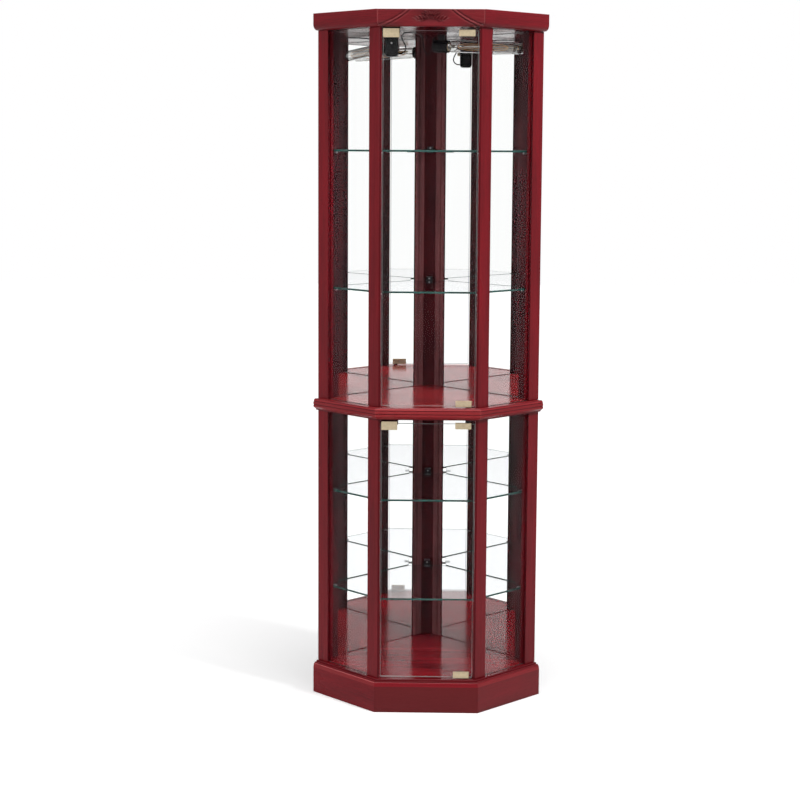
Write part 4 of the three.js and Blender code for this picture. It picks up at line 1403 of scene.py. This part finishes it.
def floor_shader(tree, name):
    colour = bpy.context.scene.cabinet_stage.floor
    dust = noise(tree, surface_point(tree), scale=3.0)
    tone = blend_colours(tree, dust, opaque(colour), scaled(colour, 1.01))
    from_middle = {0: surface_point(tree), 1: LIT_MIDDLE}
    distance = put(tree, "VectorMath", from_middle, operation="DISTANCE").outputs["Value"]
    glow = remap(tree, distance, GLOW_NEAR, GLOW_FAR, GLOW_LEAST, 1.0)
    seen_glow = put(tree, "Math", {0: seen_directly(tree), 1: glow}, operation="MULTIPLY")
    return principled(tree, tone, 0.8, {
        "Specular IOR Level": 0.1, "Emission Color": (1, 1, 1, 1),
        "Emission Strength": seen_glow.outputs[0],
    })


def build_floor():
    bm = bmesh.new()
    bmesh.ops.create_grid(bm, x_segments=8, y_segments=8, size=FLOOR_HALF)
    mesh = bpy.data.meshes.new("studio_floor")
    bm.to_mesh(mesh)
    bm.free()
    floor = bpy.data.objects.new("studio_floor", mesh)
    bpy.context.scene.collection.objects.link(floor)
    mesh.materials.append(new_material("studio floor", floor_shader))


def build_lights():
    for name, location, size, watts in STUDIO_LAMPS:
        data = bpy.data.lights.new(name, "AREA")
        data.shape = "RECTANGLE"
        data.size, data.size_y = size
        data.energy = watts
        lamp = bpy.data.objects.new(name, data)
        lamp.visible_transmission = False
        aim = (Vector(LAMP_AIM) - Vector(location)).to_track_quat("-Z", "Y")
        lamp.matrix_world = Matrix.Translation(location) @ aim.to_matrix().to_4x4()
        bpy.context.scene.collection.objects.link(lamp)


def set_light_paths():
    for name, value in LIGHT_PATHS.items():
        setattr(bpy.context.scene.cycles, name, value)


# ---- Operators and panel ----


class CabinetOperator:
    """Common part of the cabinet's operators."""

    bl_options = {"REGISTER", "UNDO"}


class CABINET_OT_camera(CabinetOperator, bpy.types.Operator):
    """Set the camera at the viewing angle"""

    bl_idname = "cabinet.camera"
    bl_label = "Camera"

    def execute(self, context):
        build_camera()
        return {"FINISHED"}


class CABINET_OT_plinth(CabinetOperator, bpy.types.Operator):
    """Build the plinth, its back rails and the floor of the lower tier"""

    bl_idname = "cabinet.plinth"
    bl_label = "Plinth and Floor"

    def execute(self, context):
        build_runs("plinth", PLINTH_OUTLINE, PLINTH_BANDS, PLINTH_FINISHES)
        for side in SIDES:
            worked(f"plinth_back_{side}", "rail", [f"{side} rail cherry"],
                   RAIL_ARRIS)
        build_panel("base_panel", "base cherry", BASE_ROUND_OVER)
        return {"FINISHED"}


class CABINET_OT_waist(CabinetOperator, bpy.types.Operator):
    """Build the moulded waist between the two tiers"""

    bl_idname = "cabinet.waist"
    bl_label = "Waist"

    def execute(self, context):
        build_runs("waist_moulding", WAIST_OUTLINE, WAIST_BANDS, WAIST_FINISHES)
        build_panel("waist_panel", "floor cherry", PANEL_ARRIS)
        return {"FINISHED"}


class CABINET_OT_crown(CabinetOperator, bpy.types.Operator):
    """Build the crown with its carved front board"""

    bl_idname = "cabinet.crown"
    bl_label = "Crown"

    def execute(self, context):
        arris = context.scene.cabinet_wood.arris
        build_crown_front()
        for side in SIDES:
            worked(f"crown_{side}", "moulding", [f"{side} run cherry"], arris,
                   angle=25)
        build_panel("ceiling_panel", "ceiling cherry", PANEL_ARRIS)
        return {"FINISHED"}


class CABINET_OT_posts(CabinetOperator, bpy.types.Operator):
    """Build the posts with their shelf pins"""

    bl_idname = "cabinet.posts"
    bl_label = "Posts"

    def execute(self, context):
        build_posts()
        return {"FINISHED"}


class CABINET_OT_panes(CabinetOperator, bpy.types.Operator):
    """Build the side panes and the mirrors"""

    bl_idname = "cabinet.panes"
    bl_label = "Panes and Mirrors"

    def execute(self, context):
        build_panes()
        return {"FINISHED"}


class CABINET_OT_shelves(CabinetOperator, bpy.types.Operator):
    """Build the glass shelves and their clips"""

    bl_idname = "cabinet.shelves"
    bl_label = "Shelves"

    def execute(self, context):
        build_shelves()
        return {"FINISHED"}


class CABINET_OT_doors(CabinetOperator, bpy.types.Operator):
    """Build the glass doors with hinges and strikes"""

    bl_idname = "cabinet.doors"
    bl_label = "Doors"

    def execute(self, context):
        for tier in TIERS:
            build_door(tier)
        return {"FINISHED"}


class CABINET_OT_latches(CabinetOperator, bpy.types.Operator):
    """Build the push latches behind the strikes"""

    bl_idname = "cabinet.latches"
    bl_label = "Latches"

    def execute(self, context):
        for tier in TIERS:
            build_latch(tier)
        return {"FINISHED"}


class CABINET_OT_lamp(CabinetOperator, bpy.types.Operator):
    """Build the lamp, its holder, its wire and the wiring box"""

    bl_idname = "cabinet.lamp"
    bl_label = "Lamp"

    def execute(self, context):
        build_holder()
        build_bulb()
        build_wiring()
        return {"FINISHED"}


class CABINET_OT_stage(CabinetOperator, bpy.types.Operator):
    """Set up the floor, the room and the lights"""

    bl_idname = "cabinet.stage"
    bl_label = "Stage"

    def execute(self, context):
        build_room()
        build_floor()
        build_lights()
        set_light_paths()
        return {"FINISHED"}


OPERATORS = (
    CABINET_OT_camera, CABINET_OT_plinth, CABINET_OT_waist, CABINET_OT_crown, CABINET_OT_posts,
    CABINET_OT_panes, CABINET_OT_shelves, CABINET_OT_doors, CABINET_OT_latches,
    CABINET_OT_lamp, CABINET_OT_stage,
)
SETTINGS = {
    "cabinet_wood": WoodSettings, "cabinet_glass": GlassSettings,
    "cabinet_fittings": FittingSettings, "cabinet_lamp": LampSettings,
    "cabinet_stage": StageSettings,
}


class CABINET_PT_sidebar(bpy.types.Panel):
    """Lists the cabinet's settings and operators"""

    bl_idname = "CABINET_PT_sidebar"
    bl_label = "Corner Curio Cabinet"
    bl_space_type = "VIEW_3D"
    bl_region_type = "UI"
    bl_category = "Cabinet"

    def draw(self, context):
        layout = self.layout
        for name in SETTINGS:
            group = getattr(context.scene, name)
            box = layout.box()
            for setting in group.__annotations__:
                box.prop(group, setting)
        for operator in OPERATORS:
            layout.operator(operator.bl_idname)


def register():
    for group in SETTINGS.values():
        bpy.utils.register_class(group)
    for name, group in SETTINGS.items():
        setattr(bpy.types.Scene, name, PointerProperty(type=group))
    for operator in OPERATORS:
        bpy.utils.register_class(operator)
    bpy.utils.register_class(CABINET_PT_sidebar)


def unregister():
    bpy.utils.unregister_class(CABINET_PT_sidebar)
    for operator in reversed(OPERATORS):
        bpy.utils.unregister_class(operator)
    for name in SETTINGS:
        delattr(bpy.types.Scene, name)
    for group in SETTINGS.values():
        bpy.utils.unregister_class(group)


def main():
    register()
    bpy.context.scene.view_settings.view_transform = "Standard"
    for operator in OPERATORS:
        folder, name = operator.bl_idname.split(".")
        getattr(getattr(bpy.ops, folder), name)()


if __name__ == "__main__":
    main()
